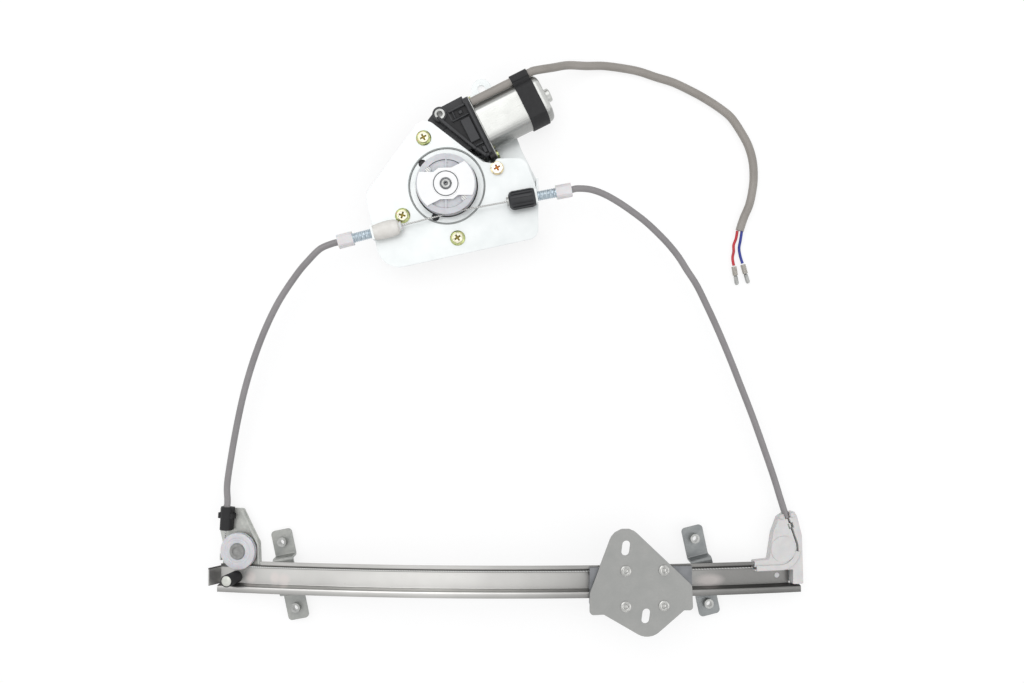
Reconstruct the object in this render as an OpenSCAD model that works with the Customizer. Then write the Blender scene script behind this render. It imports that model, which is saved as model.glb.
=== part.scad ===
// Cable window regulator with an electric worm gear motor, lying on its mounting side.
// X runs along the guide rail, Y from the rail to the motor, Z from the mounting side to the front.
// The rail is bowed like door glass: its hinge axis lies parallel to Y, far below the part.

/* [Guide rail] */
// Bow radius at the face of the rail's flanges
rail_radius = 1250; // [1000:10:2000]
// Height of the flange face at the top of the bow
rail_apex_h = 41; // [41:0.5:60]
// Length of the rail left of the top of the bow
rail_left_len = 269; // [255:1:300]
// Length of the rail right of the top of the bow
rail_right_len = 267; // [255:1:300]
// Width over both flanges
rail_w = 29; // [27:0.5:34]
// Depth of the channel
rail_depth = 8; // [7:0.5:9]
// Thickness of the rolled strip
rail_t = 1.2; // [0.8:0.1:1.5]
// Width of the flange on the motor side
flange_upper_w = 3.6; // [3:0.1:4]
// Width of the flange on the far side
flange_lower_w = 5.8; // [5:0.1:7]
// How far each channel wall leans in from flange to web
wall_lean = 1.2; // [0.6:0.1:1.8]
// Inner bend radius of the strip
rail_bend_r = 0.8; // [0.4:0.1:1]
// Cut away at the left end of the motor side flange, for the pulley
upper_left_cut = 42; // [38:1:60]
// Cut away at the right end of the motor side flange, for the end guide
upper_right_cut = 45.4; // [40:0.2:50]
// Cut away at the right end of the web
web_right_cut = 8.4; // [4:0.2:14]
// Height of the turned up lug at the left end
end_lug_h = 15; // [8:0.5:18]
// Width of that lug
end_lug_w = 16; // [10:0.5:18]

/* [Cable] */
// Diameter of the steel cable
cable_d = 1.5; // [1.2:0.1:1.8]
// Distance of the cable from the middle of the rail
cable_y = 8.6; // [8:0.1:9]
// Depth of the cable below the flange face
cable_depth = 4; // [3:0.1:5]
// Outer diameter of the conduits
conduit_d = 6; // [5:0.25:7]

/* [Cable drum] */
// Drum axis, from the middle of the rail to the left
drum_left = 56.6; // [50:0.2:70]
// Drum axis, from the middle of the rail towards the motor
drum_up = 352.8; // [320:0.2:400]
// Radius of the cable's middle on the drum
drum_cable_r = 25.3; // [24.5:0.1:26]
// Radius of the drum's flanges
drum_flange_r = 26.8; // [26.6:0.1:27.2]
// Underside of the drum
drum_z = 28; // [27.6:0.1:29]
// Height of the drum
drum_h = 17.5; // [16:0.5:20]
// Number of cable grooves
groove_count = 7; // [5:1:7]
// Pitch of the cable grooves
groove_pitch = 2.3; // [2.1:0.1:2.4]
// Thickness of the white cap
cap_t = 1.5; // [1:0.1:2]
// Radius of the raised ring on the cap
cap_ring_r = 11.3; // [10:0.1:13]
// Angle of the left cable as it leaves the drum
left_cable_deg = 14.6; // [10:0.2:18]
// Angle of the right cable as it leaves the drum
right_cable_deg = 10.6; // [8:0.2:14]

/* [Front plate] */
// Width of the plate that carries the drum
plate_w = 153; // [148:1:170]
// Height of that plate
plate_h = 131; // [128:1:145]
// Sheet thickness of both plates
plate_t = 2; // [1.5:0.1:2.5]
// Underside of the front plate
plate_z = 28; // [27.6:0.1:29]
// Radius of the opening round the drum
opening_r = 27.9; // [27.8:0.1:29]
// Radius of the pressed step round the opening
step_r = 34.2; // [32:0.1:37]
// Depth of the pressed step
step_depth = 0.8; // [0.4:0.1:0.9]
// Distance of the fixing screws from the drum axis
screw_circle_r = 47.7; // [46.5:0.1:50]
// Width of the lugs that hold the cable adjusters
saddle_w = 12; // [11:0.5:14]

/* [Rear bracket] */
// Width of the bracket right of the drum axis
bracket_w = 82; // [80:0.5:90]
// Distance of the mounting ear from the drum axis, across
ear_x = 30.3; // [26:0.1:34]
// Distance of the mounting ear from the drum axis, upwards
ear_y = 92.8; // [88:0.1:100]
// Radius of the mounting ear
ear_r = 9.2; // [8.5:0.1:11]
// Radius of the hole in the mounting ear
ear_hole_r = 3.4; // [3:0.1:4]

/* [Gear motor] */
// Angle of the motor axis
motor_deg = 26.7; // [20:0.1:32]
// Height of the motor axis
motor_z = 19.4; // [19.4:0.1:20]
// Number of teeth of the worm wheel
wheel_teeth = 56; // [56:1:58]
// Tooth module of the worm drive
gear_module = 1; // [0.96:0.01:1]
// Pitch radius of the worm
worm_pitch_r = 5.5; // [5.3:0.1:5.6]
// Face width of the worm wheel
wheel_w = 7.4; // [6:0.1:7.4]
// Distance from the worm's middle to the motor flange
flange_s = 51.6; // [50:0.2:56]
// Diameter of the motor can over its round sides
can_d = 44; // [42:0.5:46]
// Thickness of the can over its flats
can_flat = 34; // [30:0.5:36]
// Length of the can
can_len = 64; // [63:0.5:70]
// Wall of the can
can_wall = 1.8; // [1.2:0.1:2]
// Half length of the motor flange
flange_half = 30.5; // [29:0.5:33]
// Motor shaft diameter
shaft_d = 6; // [5:0.1:6.4]
// Outer radius of the gear chamber
chamber_r = 33.2; // [32.6:0.1:36]
// Wall of the gear housing
housing_wall = 2.4; // [2:0.1:2.6]
// Distance of the rubber band from the motor flange
band_from = 41.6; // [38:0.2:44]
// Width of the rubber band round the can
band_w = 16.4; // [12:0.2:18]

/* [Cable adjusters] */
// Where the right adjuster starts, from the drum's tangent point
right_adjust_from = 50; // [48:0.5:54]
// Where the left adjuster starts
left_adjust_from = 47.6; // [46:0.5:52]
// Diameter of the black knurled nut
nut_d = 17; // [15:0.5:18]
// Length of the black knurled nut
nut_len = 23.4; // [20:0.2:26]
// Diameter of the white boot
boot_d = 15.2; // [14:0.2:17]
// Diameter of the threaded sleeves
sleeve_d = 9; // [8:0.1:9.4]
// Visible length of a threaded sleeve
sleeve_len = 18.6; // [16:0.2:22]
// Diameter of the white conduit collars
collar_d = 12.8; // [11:0.2:14]
// Length of the white conduit collars
collar_len = 13.8; // [11:0.2:16]

/* [Cross brackets] */
// Length of a cross bracket
cross_len = 83; // [78:0.5:90]
// Width of a cross bracket
cross_w = 19.6; // [18:0.2:22]
// Sheet thickness of a cross bracket
cross_t = 2; // [1.6:0.1:2.2]
// Depth of its tabs' faces below the flange face
cross_depth = 19.2; // [18:0.1:19.4]
// Turn of the cross brackets against the rail
cross_deg = 12.4; // [0:0.2:16]
// Distance between the two threaded holes
cross_hole_gap = 61; // [58:0.5:66]
// Radius of the threaded holes
thread_r = 2.5; // [2.5:0.1:3.2]
// Place of the left bracket along the rail
cross_left_at = 206; // [190:1:215]
// Place of the right bracket along the rail
cross_right_at = 178.6; // [170:0.2:200]

/* [Pulley end] */
// Place of the pulley along the rail
pulley_at = 249.7; // [244:0.1:252]
// Radius of the cable's middle on the pulley
pulley_cable_r = 14; // [13:0.1:15]
// Radius of the pulley's rims
pulley_rim_r = 16.7; // [15.5:0.1:17]
// Thickness of the pulley
pulley_t = 5.6; // [4.6:0.1:6]
// Radius of the pulley rivet's shank
pulley_pin_r = 4; // [3.5:0.1:4.5]
// Radius of the pulley rivet's head
pulley_head_r = 7.6; // [6.5:0.1:8.5]
// Sheet thickness of the pulley bracket
pulley_bracket_t = 1.5; // [1.2:0.1:1.8]
// Width of the pulley bracket
pulley_bracket_w = 41; // [39:0.5:44]
// Reach of the pulley bracket beyond the rail's middle
pulley_bracket_h = 61; // [60:0.5:66]
// Radius of the rubber bumper
bumper_r = 5.5; // [4.5:0.1:5.6]
// Height of the rubber bumper
bumper_h = 21; // [16:0.5:24]
// Distance of the bumper from the pulley, along the rail
bumper_dx = 3.7; // [2:0.1:6]

/* [End guide] */
// Place of the end guide along the rail
guide_at = 247; // [246:0.2:250]
// Radius of the cable's turn in the guide
guide_r = 16.5; // [15.5:0.1:17]
// Overall width of the guide
guide_w = 47; // [46:0.5:50]
// Reach of the guide's ears above the rail's middle
guide_h = 59; // [58:0.5:62]
// Thickness of the guide
guide_t = 8.2; // [7.8:0.1:8.6]

/* [Lift plate] */
// Place of the lift plate's middle along the rail
carrier_at = 116.5; // [20:0.5:130]
// Width of the lift plate
carrier_w = 93; // [88:0.5:100]
// Height of the lift plate
carrier_h = 97; // [90:0.5:104]
// Sheet thickness of the lift plate
carrier_t = 2; // [1.6:0.1:2.4]
// Height of the lift plate's underside above the flange face
carrier_lift = 3.2; // [3.2:0.1:4]
// Width of the glass adjusting slots
slot_w = 7.2; // [6.5:0.1:8]
// Length of the glass adjusting slots
slot_len = 13.4; // [11:0.1:15]
// Distance between the lift plate's rivets along the rail
carrier_rivet_dx = 34.4; // [30:0.2:38]
// Distance between them across the rail
carrier_rivet_dy = 31.6; // [30:0.2:34]

/* [Motor lead] */
// Diameter of the sheathed motor lead
lead_d = 7.6; // [7:0.1:8]
// Diameter of each wire
wire_d = 2.6; // [2.2:0.1:2.8]
// Diameter of the bullet terminals
bullet_d = 4; // [3.6:0.1:4]

/* [Hidden] */
$fn = 48;
eps = 0.4;             // overrun of every cut
seat = 0.2;            // gap of a welded or resting seat between a flat and a bowed face
slack = 0.35;          // running gap between moving pieces
fit = 0.05;            // running clearance of a shaft in its bearing
turn = 360;

// Outline and strip functions
function unit(v) = v / norm(v);
function arc_points(a, p, b, r, n) =
    let (u = unit(a - p), v = unit(b - p), half = acos(u * v) / 2,
         c = p + unit(u + v) * r / sin(half),
         s = p + u * r / tan(half) - c, e = p + v * r / tan(half) - c)
    [for (k = [0:n]) c + r * unit(s * (n - k) / n + e * k / n)];
function flat2(p) = [p[0], p[1]];
// Closed outline whose corners [x, y, r] are rounded, in steps that follow the size of r
function round_outline(pts, n = 6) =
    [for (i = [0:len(pts) - 1])
        let (p = pts[i], a = pts[(i + len(pts) - 1) % len(pts)], b = pts[(i + 1) % len(pts)])
        each (p[2] > 0 ? arc_points(flat2(a), flat2(p), flat2(b), p[2], n) : [flat2(p)])];
function scaled(pts, w, h) = [for (p = pts) [p[0] * w, p[1] * h, p[2] * w]];
// Middle line of a bent strip with rounded bends, and the strip's section
function bent_line(pts, r) =
    [for (i = [0:len(pts) - 1])
        each (i == 0 || i == len(pts) - 1 ? [pts[i]]
              : arc_points(pts[i - 1], pts[i], pts[i + 1], r, 4))];
function beside(line, i, d) =
    let (a = line[max(i - 1, 0)], b = line[min(i + 1, len(line) - 1)], v = unit(b - a))
    line[i] + d * [-v[1], v[0]];
function strip(line, t) =
    concat([for (i = [0:len(line) - 1]) beside(line, i, t / 2)],
           [for (i = [len(line) - 1:-1:0]) beside(line, i, -t / 2)]);

// Places
function deg_of(arc) = arc / rail_radius * 180 / PI;
rail_axis_z = rail_apex_h - rail_radius;
end_lug_run = 5;       // how far the end lug leans out
carrier_bottom_share = 0.5;
guide_right_share = 0.468;
end_reach = (rail_radius - rail_depth + seat + guide_t) * sin(deg_of(guide_at))
            + guide_right_share * guide_w * cos(deg_of(guide_at));
lug_reach = (rail_radius - rail_depth - rail_t / 2 + end_lug_h) * sin(deg_of(rail_left_len))
            + (end_lug_run + rail_t / 2) * cos(deg_of(rail_left_len));
function rail_at(arc, x, y, z) =
    let (a = deg_of(arc), r = rail_radius + z)
    [rail_x + r * sin(a) + x * cos(a), rail_y + y, rail_axis_z + r * cos(a) - x * sin(a)];
module on_rail(arc) {
    translate([rail_x, rail_y, rail_axis_z]) rotate([0, deg_of(arc), 0])
        translate([0, 0, rail_radius]) children();
}
module on_drum(z = 0) { translate([drum_x, drum_y, z]) children(); }
module on_motor_plan(z = 0) {
    on_drum(z) rotate([0, 0, motor_deg]) translate([0, mesh_distance, 0]) children();
}
module on_motor() { on_motor_plan(motor_z) children(); }
// Along a cable as it leaves the drum: X runs outwards from the tangent point
module on_left_cable() {
    on_drum(left_cable_z) rotate([0, 0, left_cable_deg]) translate([0, -drum_cable_r, 0])
        mirror([1, 0, 0]) children();
}
module on_right_cable() {
    on_drum(right_cable_z) rotate([0, 0, right_cable_deg]) translate([0, -drum_cable_r, 0])
        children();
}
// Round bar and ring along X
module bar(from, to, r) { translate([from, 0, 0]) rotate([0, 90, 0]) cylinder(r = r, h = to - from); }
module hollow_bar(from, to, r, bore_r) {
    difference() {
        bar(from, to, r);
        bar(from - eps, to + eps, bore_r);
    }
}
module slab(from, to, half_y, half_z) {
    translate([from, -half_y, -half_z]) cube([to - from, 2 * half_y, 2 * half_z]);
}
// Section swept along the rail: its X is the height over the flange face, its Y the place across
module rail_sweep(from, to) {
    translate([rail_x, rail_y, rail_axis_z]) rotate([90, 0, 0])
        rotate_extrude(angle = deg_of(to - from), start = 90 - deg_of(to), $fn = rail_steps)
            mirror([0, 1]) translate([rail_radius, 0]) children();
}
// Tube swept along points that are joined by a smooth curve
function spline(p, i, t) =
    let (a = p[max(i - 1, 0)], b = p[i], c = p[i + 1], d = p[min(i + 2, len(p) - 1)])
    0.5 * ((2 * b) + (c - a) * t + (2 * a - 5 * b + 4 * c - d) * t * t
           + (3 * b - a - 3 * c + d) * t * t * t);
function smooth(p, n) =
    concat([for (i = [0:len(p) - 2]) for (k = [0:n - 1]) spline(p, i, k / n)], [p[len(p) - 1]]);
function along(p, i) = unit(p[min(i + 1, len(p) - 1)] - p[max(i - 1, 0)]);
function ring_of(c, t, r, sides) =
    let (u = unit(cross([0, 0, 1], t)), v = cross(t, u))
    [for (k = [0:sides - 1]) c + r * (cos(turn * k / sides) * u + sin(turn * k / sides) * v)];
module tube(p, r, sides) {
    last = (len(p) - 1) * sides;
    polyhedron(
        points = [for (i = [0:len(p) - 1]) each ring_of(p[i], along(p, i), r, sides)],
        faces = concat(
            [[for (k = [0:sides - 1]) k]],
            [for (i = [0:len(p) - 2]) for (k = [0:sides - 1])
                [i * sides + k, (i + 1) * sides + k,
                 (i + 1) * sides + (k + 1) % sides, i * sides + (k + 1) % sides]],
            [[for (k = [sides - 1:-1:0]) last + k]]));
}

// Derived sizes of the rail
rail_steps = 360;
half_w = rail_w / 2;
wall_up = half_w - flange_upper_w;
wall_down = half_w - flange_lower_w;
web_up = wall_up - wall_lean;
web_down = wall_down - wall_lean;
web_top = -rail_depth;
web_under = -rail_depth - rail_t;
cable_r = cable_d / 2;
conduit_r = conduit_d / 2;
cable_gap = 0.3;       // clearance round a cable in a bore or groove
hole_share = 0.3;      // datum hole of the web, as a share of the channel depth
guide_peg_r = rail_depth * hole_share;

// Derived sizes of the drum and gears
mesh_distance = wheel_teeth * gear_module / 2 + worm_pitch_r;
wheel_pitch_r = wheel_teeth * gear_module / 2;
wheel_tip_r = wheel_pitch_r + 0.9 * gear_module;
wheel_root_r = wheel_pitch_r - 1.3 * gear_module;
worm_tip_r = worm_pitch_r + gear_module;
worm_root_r = worm_pitch_r - 1.25 * gear_module;
worm_lead = PI * gear_module;
worm_lead_deg = atan(worm_lead / (2 * PI * worm_pitch_r));
worm_half = 12;        // half the worm's length
worm_slices = 12;      // steps in each turn of the worm
worm_sides = 16;
groove_w = groove_pitch - 0.3;
groove_r = drum_cable_r - cable_r - cable_gap;
groove_from = drum_z + (drum_h - (groove_count - 1) * groove_pitch) / 2;
left_groove = 4;       // groove that the left cable leaves
right_groove = 5;      // groove that the right cable leaves
left_cable_z = groove_from + left_groove * groove_pitch;
right_cable_z = groove_from + right_groove * groove_pitch;
drum_top = drum_z + drum_h;
drum_wall = 2.6;       // thickness of the drum's barrel
drum_floor = 2.2;
drum_hub_r = 11;
drum_rib_t = 1.6;
cap_r = drum_cable_r + 0.3;
output_r = 5;          // radius of the output shaft
output_end = 1.4;      // how far it stands out of the cap
output_centre_r = 1.9; // centre bore in its end
wrap_deg = 70;         // how far a leaving cable lies on the drum

// Derived sizes of the plates and housing
plate_top = plate_z + plate_t;
ring_under = plate_z - step_depth;
screw_degs = [19.3, 115.8, 214, 281.8];
screw_tips = [seat, plate_t, plate_t, seat];
screw_r = 2.6;         // shank radius of the plate screws
head_flange_r = 6.8;
head_hex_r = 5.2;
head_flange_t = 1.6;
head_hex_t = 3.2;
cross_slot_w = 1.5;    // arms of the cross recess
cross_slot_l = 5.4;
cross_slot_d = 1.8;
boss_r = 7.2;          // screw bosses of the housing
boss_arm_w = 10;
arm_step = 0.4;        // drop of an arm's top
housing_top = ring_under;
housing_floor = 8;     // chamber's floor over the base
cavity_r = wheel_tip_r + 0.8;
cover_t = 1.6;
cover_r = mesh_distance - 2.8 * gear_module;
cover_z = housing_top - cover_t;
bush_hole_s = 23;      // bushed mounting hole, along the motor axis from the worm
bush_hole_n = 25.4;    // and across it
bush_outer_r = 4.6;
bush_bore_r = 2.7;

// Derived sizes of the motor
can_r = can_d / 2;
can_half = can_flat / 2;
can_end = flange_s + can_len;
flange_t = 1.2;
flange_half_z = 13;
rear_boss_r = 6.3;
rear_boss_len = 5;
shaft_r = shaft_d / 2;
shaft_from = -18;
commutator_from = 38;
commutator_to = 50.6;
commutator_r = 7;
core_from = 59.5;
core_to = 87;
core_r = 14.8;
magnet_in_r = 16;
winding_len = 5;
lead_deg = 24;         // place of the lead round the can
lead_r = lead_d / 2;
lead_out_r = can_r + lead_r + seat;
band_t = 1.3;
band_to = flange_s + band_from + band_w;
wire_r = wire_d / 2;
bullet_r = bullet_d / 2;

// Places of the rail and the drum in the centred part, whose top is the band's corner
band_reach = mesh_distance + lead_out_r * cos(lead_deg) + lead_r + band_t;
top_reach = drum_up + max(ear_y + ear_r, band_reach * cos(motor_deg) + band_to * sin(motor_deg));
rail_x = (lug_reach - end_reach) / 2;
rail_y = (carrier_h * carrier_bottom_share - top_reach) / 2;
drum_x = rail_x - drum_left;
drum_y = rail_y + drum_up;

// Derived sizes of the cable adjusters, measured from the drum's tangent point
nipple_r = 4;
nut_from = 2;          // how far the nut starts behind the nipple's face
nut_r = nut_d / 2;
boot_r = boot_d / 2;
sleeve_r = sleeve_d / 2;
collar_r = collar_d / 2;
sleeve_in = 1.6;       // reach of a sleeve into its ends
socket_in = 6;         // how deep a conduit sits in its collar
saddle_t = plate_t;
saddle_rise = 5.5;     // height of a saddle above the cable
right_saddle_at = right_adjust_from + nut_from + nut_len;
left_saddle_at = left_adjust_from + nut_from + nut_len;
cable_bore_r = cable_r + cable_gap;

// Derived sizes of the pulley end and the end guide
fitting_bed = web_under - seat;
fitting_r = -cable_depth - fitting_bed;
pulley_y = cable_y + pulley_cable_r;
left_exit_deg = 4;     // lean of the cable as it leaves the pulley
right_exit_deg = 20;   // and as it leaves the end guide
guide_y = cable_y + guide_r;
fitting_from = 18;     // fitting's near end, from the cable's tangent point
fitting_to = 39;
fitting_socket = 12;
left_run = fitting_to - fitting_socket;
right_run = 23.5;      // from the guide's tangent point to the conduit
ferrule_at = 14;       // ferrule on the cable in the guide
ferrule_len = 4.6;
ferrule_r = 2.6;
bumper_y = -1.6;

// Conduit and lead routes, points chosen by hand along the way each one takes
function left_end(t) =
    rail_at(-pulley_at, -pulley_cable_r * cos(left_exit_deg) + t * sin(left_exit_deg),
            pulley_y + pulley_cable_r * sin(left_exit_deg) + t * cos(left_exit_deg), -cable_depth);
function right_end(t) =
    rail_at(guide_at, guide_r * cos(right_exit_deg) - t * sin(right_exit_deg),
            guide_y + guide_r * sin(right_exit_deg) + t * cos(right_exit_deg), -cable_depth);
function left_start(t) =
    [drum_x + drum_cable_r * sin(left_cable_deg) - t * cos(left_cable_deg),
     drum_y - drum_cable_r * cos(left_cable_deg) - t * sin(left_cable_deg), left_cable_z];
function right_start(t) =
    [drum_x + drum_cable_r * sin(right_cable_deg) + t * cos(right_cable_deg),
     drum_y - drum_cable_r * cos(right_cable_deg) + t * sin(right_cable_deg), right_cable_z];
left_collar_end = left_saddle_at + saddle_t + sleeve_len - sleeve_in + collar_len;
right_collar_end = right_saddle_at + saddle_t + sleeve_len - sleeve_in + collar_len;
left_route = concat(
    [for (reach = [-socket_in, 0, socket_in]) left_start(left_collar_end + reach)],
    [[-165.5, 91, 38], [-176, 81, 36.5], [-187, 68.5, 34], [-203, 45.5, 31], [-216, 20.5, 28], [-227, -6.5, 25],
     [-236, -34.5, 22], [-243, -62.5, 19], [-249, -91.5, 16], [-254, -120.5, 13]],
    [left_end(fitting_to + socket_in), left_end(fitting_to), left_end(left_run)]);
right_route = concat(
    [for (reach = [-socket_in, 0, socket_in]) right_start(right_collar_end + reach)],
    [[75, 143.5, 40.5], [87, 139.5, 39.5], [100, 132.5, 38], [112, 124.5, 37], [124, 115.5, 36],
     [135, 105.5, 35], [145, 95.5, 33], [154, 84.5, 32], [162, 72.5, 30], [170, 60.5, 29],
     [177, 47.5, 27], [189, 22.5, 25], [201, -4.5, 22], [212, -31.5, 20], [223, -58.5, 17],
     [233, -85.5, 15], [243, -113.5, 13], [250, -135.5, 12]],
    [right_end(right_run)]);
lead_exit_s = band_to + 1.4;
lead_start = [drum_x + lead_exit_s * cos(motor_deg)
              - (mesh_distance + lead_out_r * cos(lead_deg)) * sin(motor_deg),
              drum_y + lead_exit_s * sin(motor_deg)
              + (mesh_distance + lead_out_r * cos(lead_deg)) * cos(motor_deg),
              motor_z + lead_out_r * sin(lead_deg)];
lead_straight = 2;      // half of what the lead keeps to the motor's line
lead_route = concat([for (along = [0, lead_straight, 2 * lead_straight])
                        lead_start + along * [cos(motor_deg), sin(motor_deg), 0]],
    [[30, 252.5, 29], [42, 255.5, 24], [56, 259.5, 16], [73, 260.5, 9], [89, 261.5, 5], [107, 259.5, 4],
     [122, 256.5, 4], [137, 251.5, 4], [153, 246.5, 4], [168, 239.5, 4], [181, 232.5, 4], [195, 223.5, 4],
     [206, 214.5, 4], [215, 201.5, 4], [222, 188.5, 4], [226, 174.5, 4], [227, 160.5, 4], [226, 148.5, 4],
     [223, 134.5, 4], [218, 122.5, 4], [214, 110.5, 4]]);
red_route = [[212, 110.5, 4], [211, 103.5, 3], [209, 97.5, 2], [209, 91.5, 2], [208, 85.5, 2], [209, 78.5, 2.5]];
blue_route = [[216, 109.5, 4], [215, 101.5, 3], [214, 94.5, 2], [215, 87.5, 2], [217, 80.5, 2.5]];
red_terminal = [[209, 78.5, 2.5], [210.4, 70.5, 2.5], [212, 60.5, 2.5]];
blue_terminal = [[217, 80.5, 2.5], [220.2, 71.5, 2.5], [222.4, 61.9, 2.5]];
terminal_wall = 0.4;

// Guide rail
rail_corners = [
    [-rail_t / 2, half_w], [-rail_t / 2, wall_up + rail_t / 2],
    [web_top - rail_t / 2, web_up + rail_t / 2], [web_top - rail_t / 2, -web_down - rail_t / 2],
    [-rail_t / 2, -wall_down - rail_t / 2], [-rail_t / 2, -half_w]];
module end_lug() {
    bed = web_top - rail_t / 2;
    on_rail(-rail_left_len) translate([0, end_lug_w / 2, 0]) rotate([90, 0, 0])
        linear_extrude(end_lug_w)
            polygon(strip(bent_line([[rail_t, bed], [0, bed], [-end_lug_run, bed + end_lug_h]],
                                    rail_bend_r), rail_t));
}
module end_cut(from, len, y_from, y_to) {
    on_rail(from + len / 2) translate([-len / 2, y_from, -2 * rail_depth])
        cube([len, y_to - y_from, 3 * rail_depth]);
}
module guide_rail() {
    color("#aeb1b2") difference() {
        union() {
            rail_sweep(-rail_left_len, rail_right_len)
                polygon(strip(bent_line(rail_corners, rail_bend_r + rail_t / 2), rail_t));
            end_lug();
        }
        end_cut(-rail_left_len - eps, upper_left_cut + eps, web_up, rail_w);
        end_cut(rail_right_len - upper_right_cut, upper_right_cut + eps, web_up, rail_w);
        end_cut(rail_right_len - web_right_cut, web_right_cut + eps, -web_down, rail_w);
        on_rail(guide_at) translate([0, 0, web_under - eps])
            cylinder(r = guide_peg_r, h = rail_t + 2 * eps);
        on_rail(-bumper_at) translate([0, bumper_y, web_under - eps])
            cylinder(r = stud_r, h = rail_t + 2 * eps);
    }
}
bumper_at = pulley_at + bumper_dx;
stud_r = 2;
stud_head_t = 1.2;

// Cross brackets and their threaded bushes
cross_face = -cross_depth;
cross_crown = web_under - seat;
cross_wall_foot = 17.5;
cross_wall_top = 16;
cross_corner_r = 3.5;
weld_nut_r = 4.4;
weld_nut_h = 4;
weld_nut_gap = 0.9;    // wall of the part that sits in the bracket's hole
module on_cross(arc) { on_rail(arc) rotate([0, 0, cross_deg]) children(); }
module cross_bracket(arc, shift) {
    tab = cross_face - cross_t / 2;
    crown = cross_crown - cross_t / 2;
    on_cross(arc) difference() {
        intersection() {
            translate([-cross_w / 2, 0, 0]) rotate([90, 0, 90]) linear_extrude(cross_w)
                polygon(strip(bent_line(
                    [[shift - cross_len / 2, tab], [-cross_wall_foot, tab], [-cross_wall_top, crown],
                     [cross_wall_top, crown], [cross_wall_foot, tab], [shift + cross_len / 2, tab]],
                    cross_t), cross_t));
            translate([0, 0, -cross_depth - 2 * cross_t]) linear_extrude(cross_depth)
                polygon(round_outline([
                    [-cross_w / 2, shift - cross_len / 2, cross_corner_r],
                    [cross_w / 2, shift - cross_len / 2, cross_corner_r],
                    [cross_w / 2, shift + cross_len / 2, cross_corner_r],
                    [-cross_w / 2, shift + cross_len / 2, cross_corner_r]]));
        }
        for (end = [-1, 1]) translate([0, shift + end * cross_hole_gap / 2, cross_face - cross_t - eps])
            cylinder(r = thread_r + weld_nut_gap, h = cross_t + 2 * eps);
    }
}
module weld_nut() {
    difference() {
        union() {
            cylinder(r = weld_nut_r, h = weld_nut_h);
            translate([0, 0, -cross_t]) cylinder(r = thread_r + weld_nut_gap, h = cross_t);
        }
        translate([0, 0, -cross_t - eps]) cylinder(r = thread_r, h = weld_nut_h + cross_t + 2 * eps);
    }
}
cross_right_shift = 4.3;
module left_cross_bracket() { color("#b4b8b8") cross_bracket(-cross_left_at, 0); }
module right_cross_bracket() { color("#b4b8b8") cross_bracket(cross_right_at, cross_right_shift); }
module weld_nuts() {
    color("#8f9391") for (side = [[-cross_left_at, 0], [cross_right_at, cross_right_shift]])
        for (end = [-1, 1])
            on_cross(side[0]) translate([0, side[1] + end * cross_hole_gap / 2, cross_face])
                weld_nut();
}

// Pulley end
pulley_bracket_shares = [
    [-0.5, 1, 0.03], [0.07, 1, 0.05], [0.46, 0.5, 0.12], [0.48, -0.15, 0.03],
    [-0.46, -0.15, 0.03], [-0.42, 0.42, 0.05], [-0.5, 0.65, 0.05]];
lip_h = 4.5;
lip_shares = [[0.07, 1], [0.46, 0.5], [0.48, 0.205]];
side_lug_w = 6;
module pulley_bracket() {
    t = pulley_bracket_t;
    w = pulley_bracket_w;
    h = pulley_bracket_h;
    edge = [for (p = lip_shares) [p[0] * w - t / 2, p[1] * h - t]];
    color("#b9bcbc") on_rail(-pulley_at) difference() {
        translate([0, 0, fitting_bed - t]) union() {
            linear_extrude(t) polygon(round_outline(scaled(pulley_bracket_shares, w, h)));
            linear_extrude(t + lip_h) polygon(strip(bent_line(edge, 2 * t), t));
            translate([-0.46 * w, 0.22 * h, 0]) cube([t, side_lug_w, t + lip_h]);
        }
        translate([0, pulley_y, fitting_bed - t - eps]) cylinder(r = pulley_pin_r, h = t + 2 * eps);
    }
}
module conduit_fitting() {
    reach = fitting_to - fitting_from;
    lug_half = 7;
    lug_len = 5;
    color("#2c2c2e") on_rail(-pulley_at)
        translate([-pulley_cable_r * cos(left_exit_deg),
                   pulley_y + pulley_cable_r * sin(left_exit_deg), -cable_depth])
        rotate([0, 0, -left_exit_deg]) rotate([-90, 0, 0]) difference() {
            union() {
                translate([0, 0, fitting_from]) cylinder(r = fitting_r, h = reach);
                translate([-lug_half, -fitting_r / 2, fitting_from + reach / 2])
                    cube([2 * lug_half, fitting_r + fitting_r / 2, lug_len]);
                translate([-fitting_r, 0, fitting_from]) cube([2 * fitting_r, fitting_r, reach]);
            }
            translate([0, 0, fitting_from - eps]) cylinder(r = cable_bore_r, h = reach + 2 * eps);
            translate([0, 0, left_run]) cylinder(r = conduit_r, h = fitting_socket + eps);
        }
}
module pulley() {
    half = pulley_t / 2;
    floor_r = pulley_cable_r - cable_r - cable_gap;
    groove_half = cable_r + cable_gap;
    web_half = half * 0.6;
    web_in = pulley_head_r + 1;
    web_out = floor_r - 1.2;
    color("#e9e9e6") on_rail(-pulley_at) translate([0, pulley_y, -cable_depth])
        rotate_extrude() polygon([
            [pulley_pin_r + fit, -half], [web_in, -half], [web_in, -web_half], [web_out, -web_half],
            [web_out, -half], [pulley_rim_r, -half], [pulley_rim_r, -groove_half * 1.6],
            [floor_r, -groove_half], [floor_r, groove_half], [pulley_rim_r, groove_half * 1.6],
            [pulley_rim_r, half], [web_out, half], [web_out, web_half], [web_in, web_half],
            [web_in, half], [pulley_pin_r + fit, half]]);
}
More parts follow.
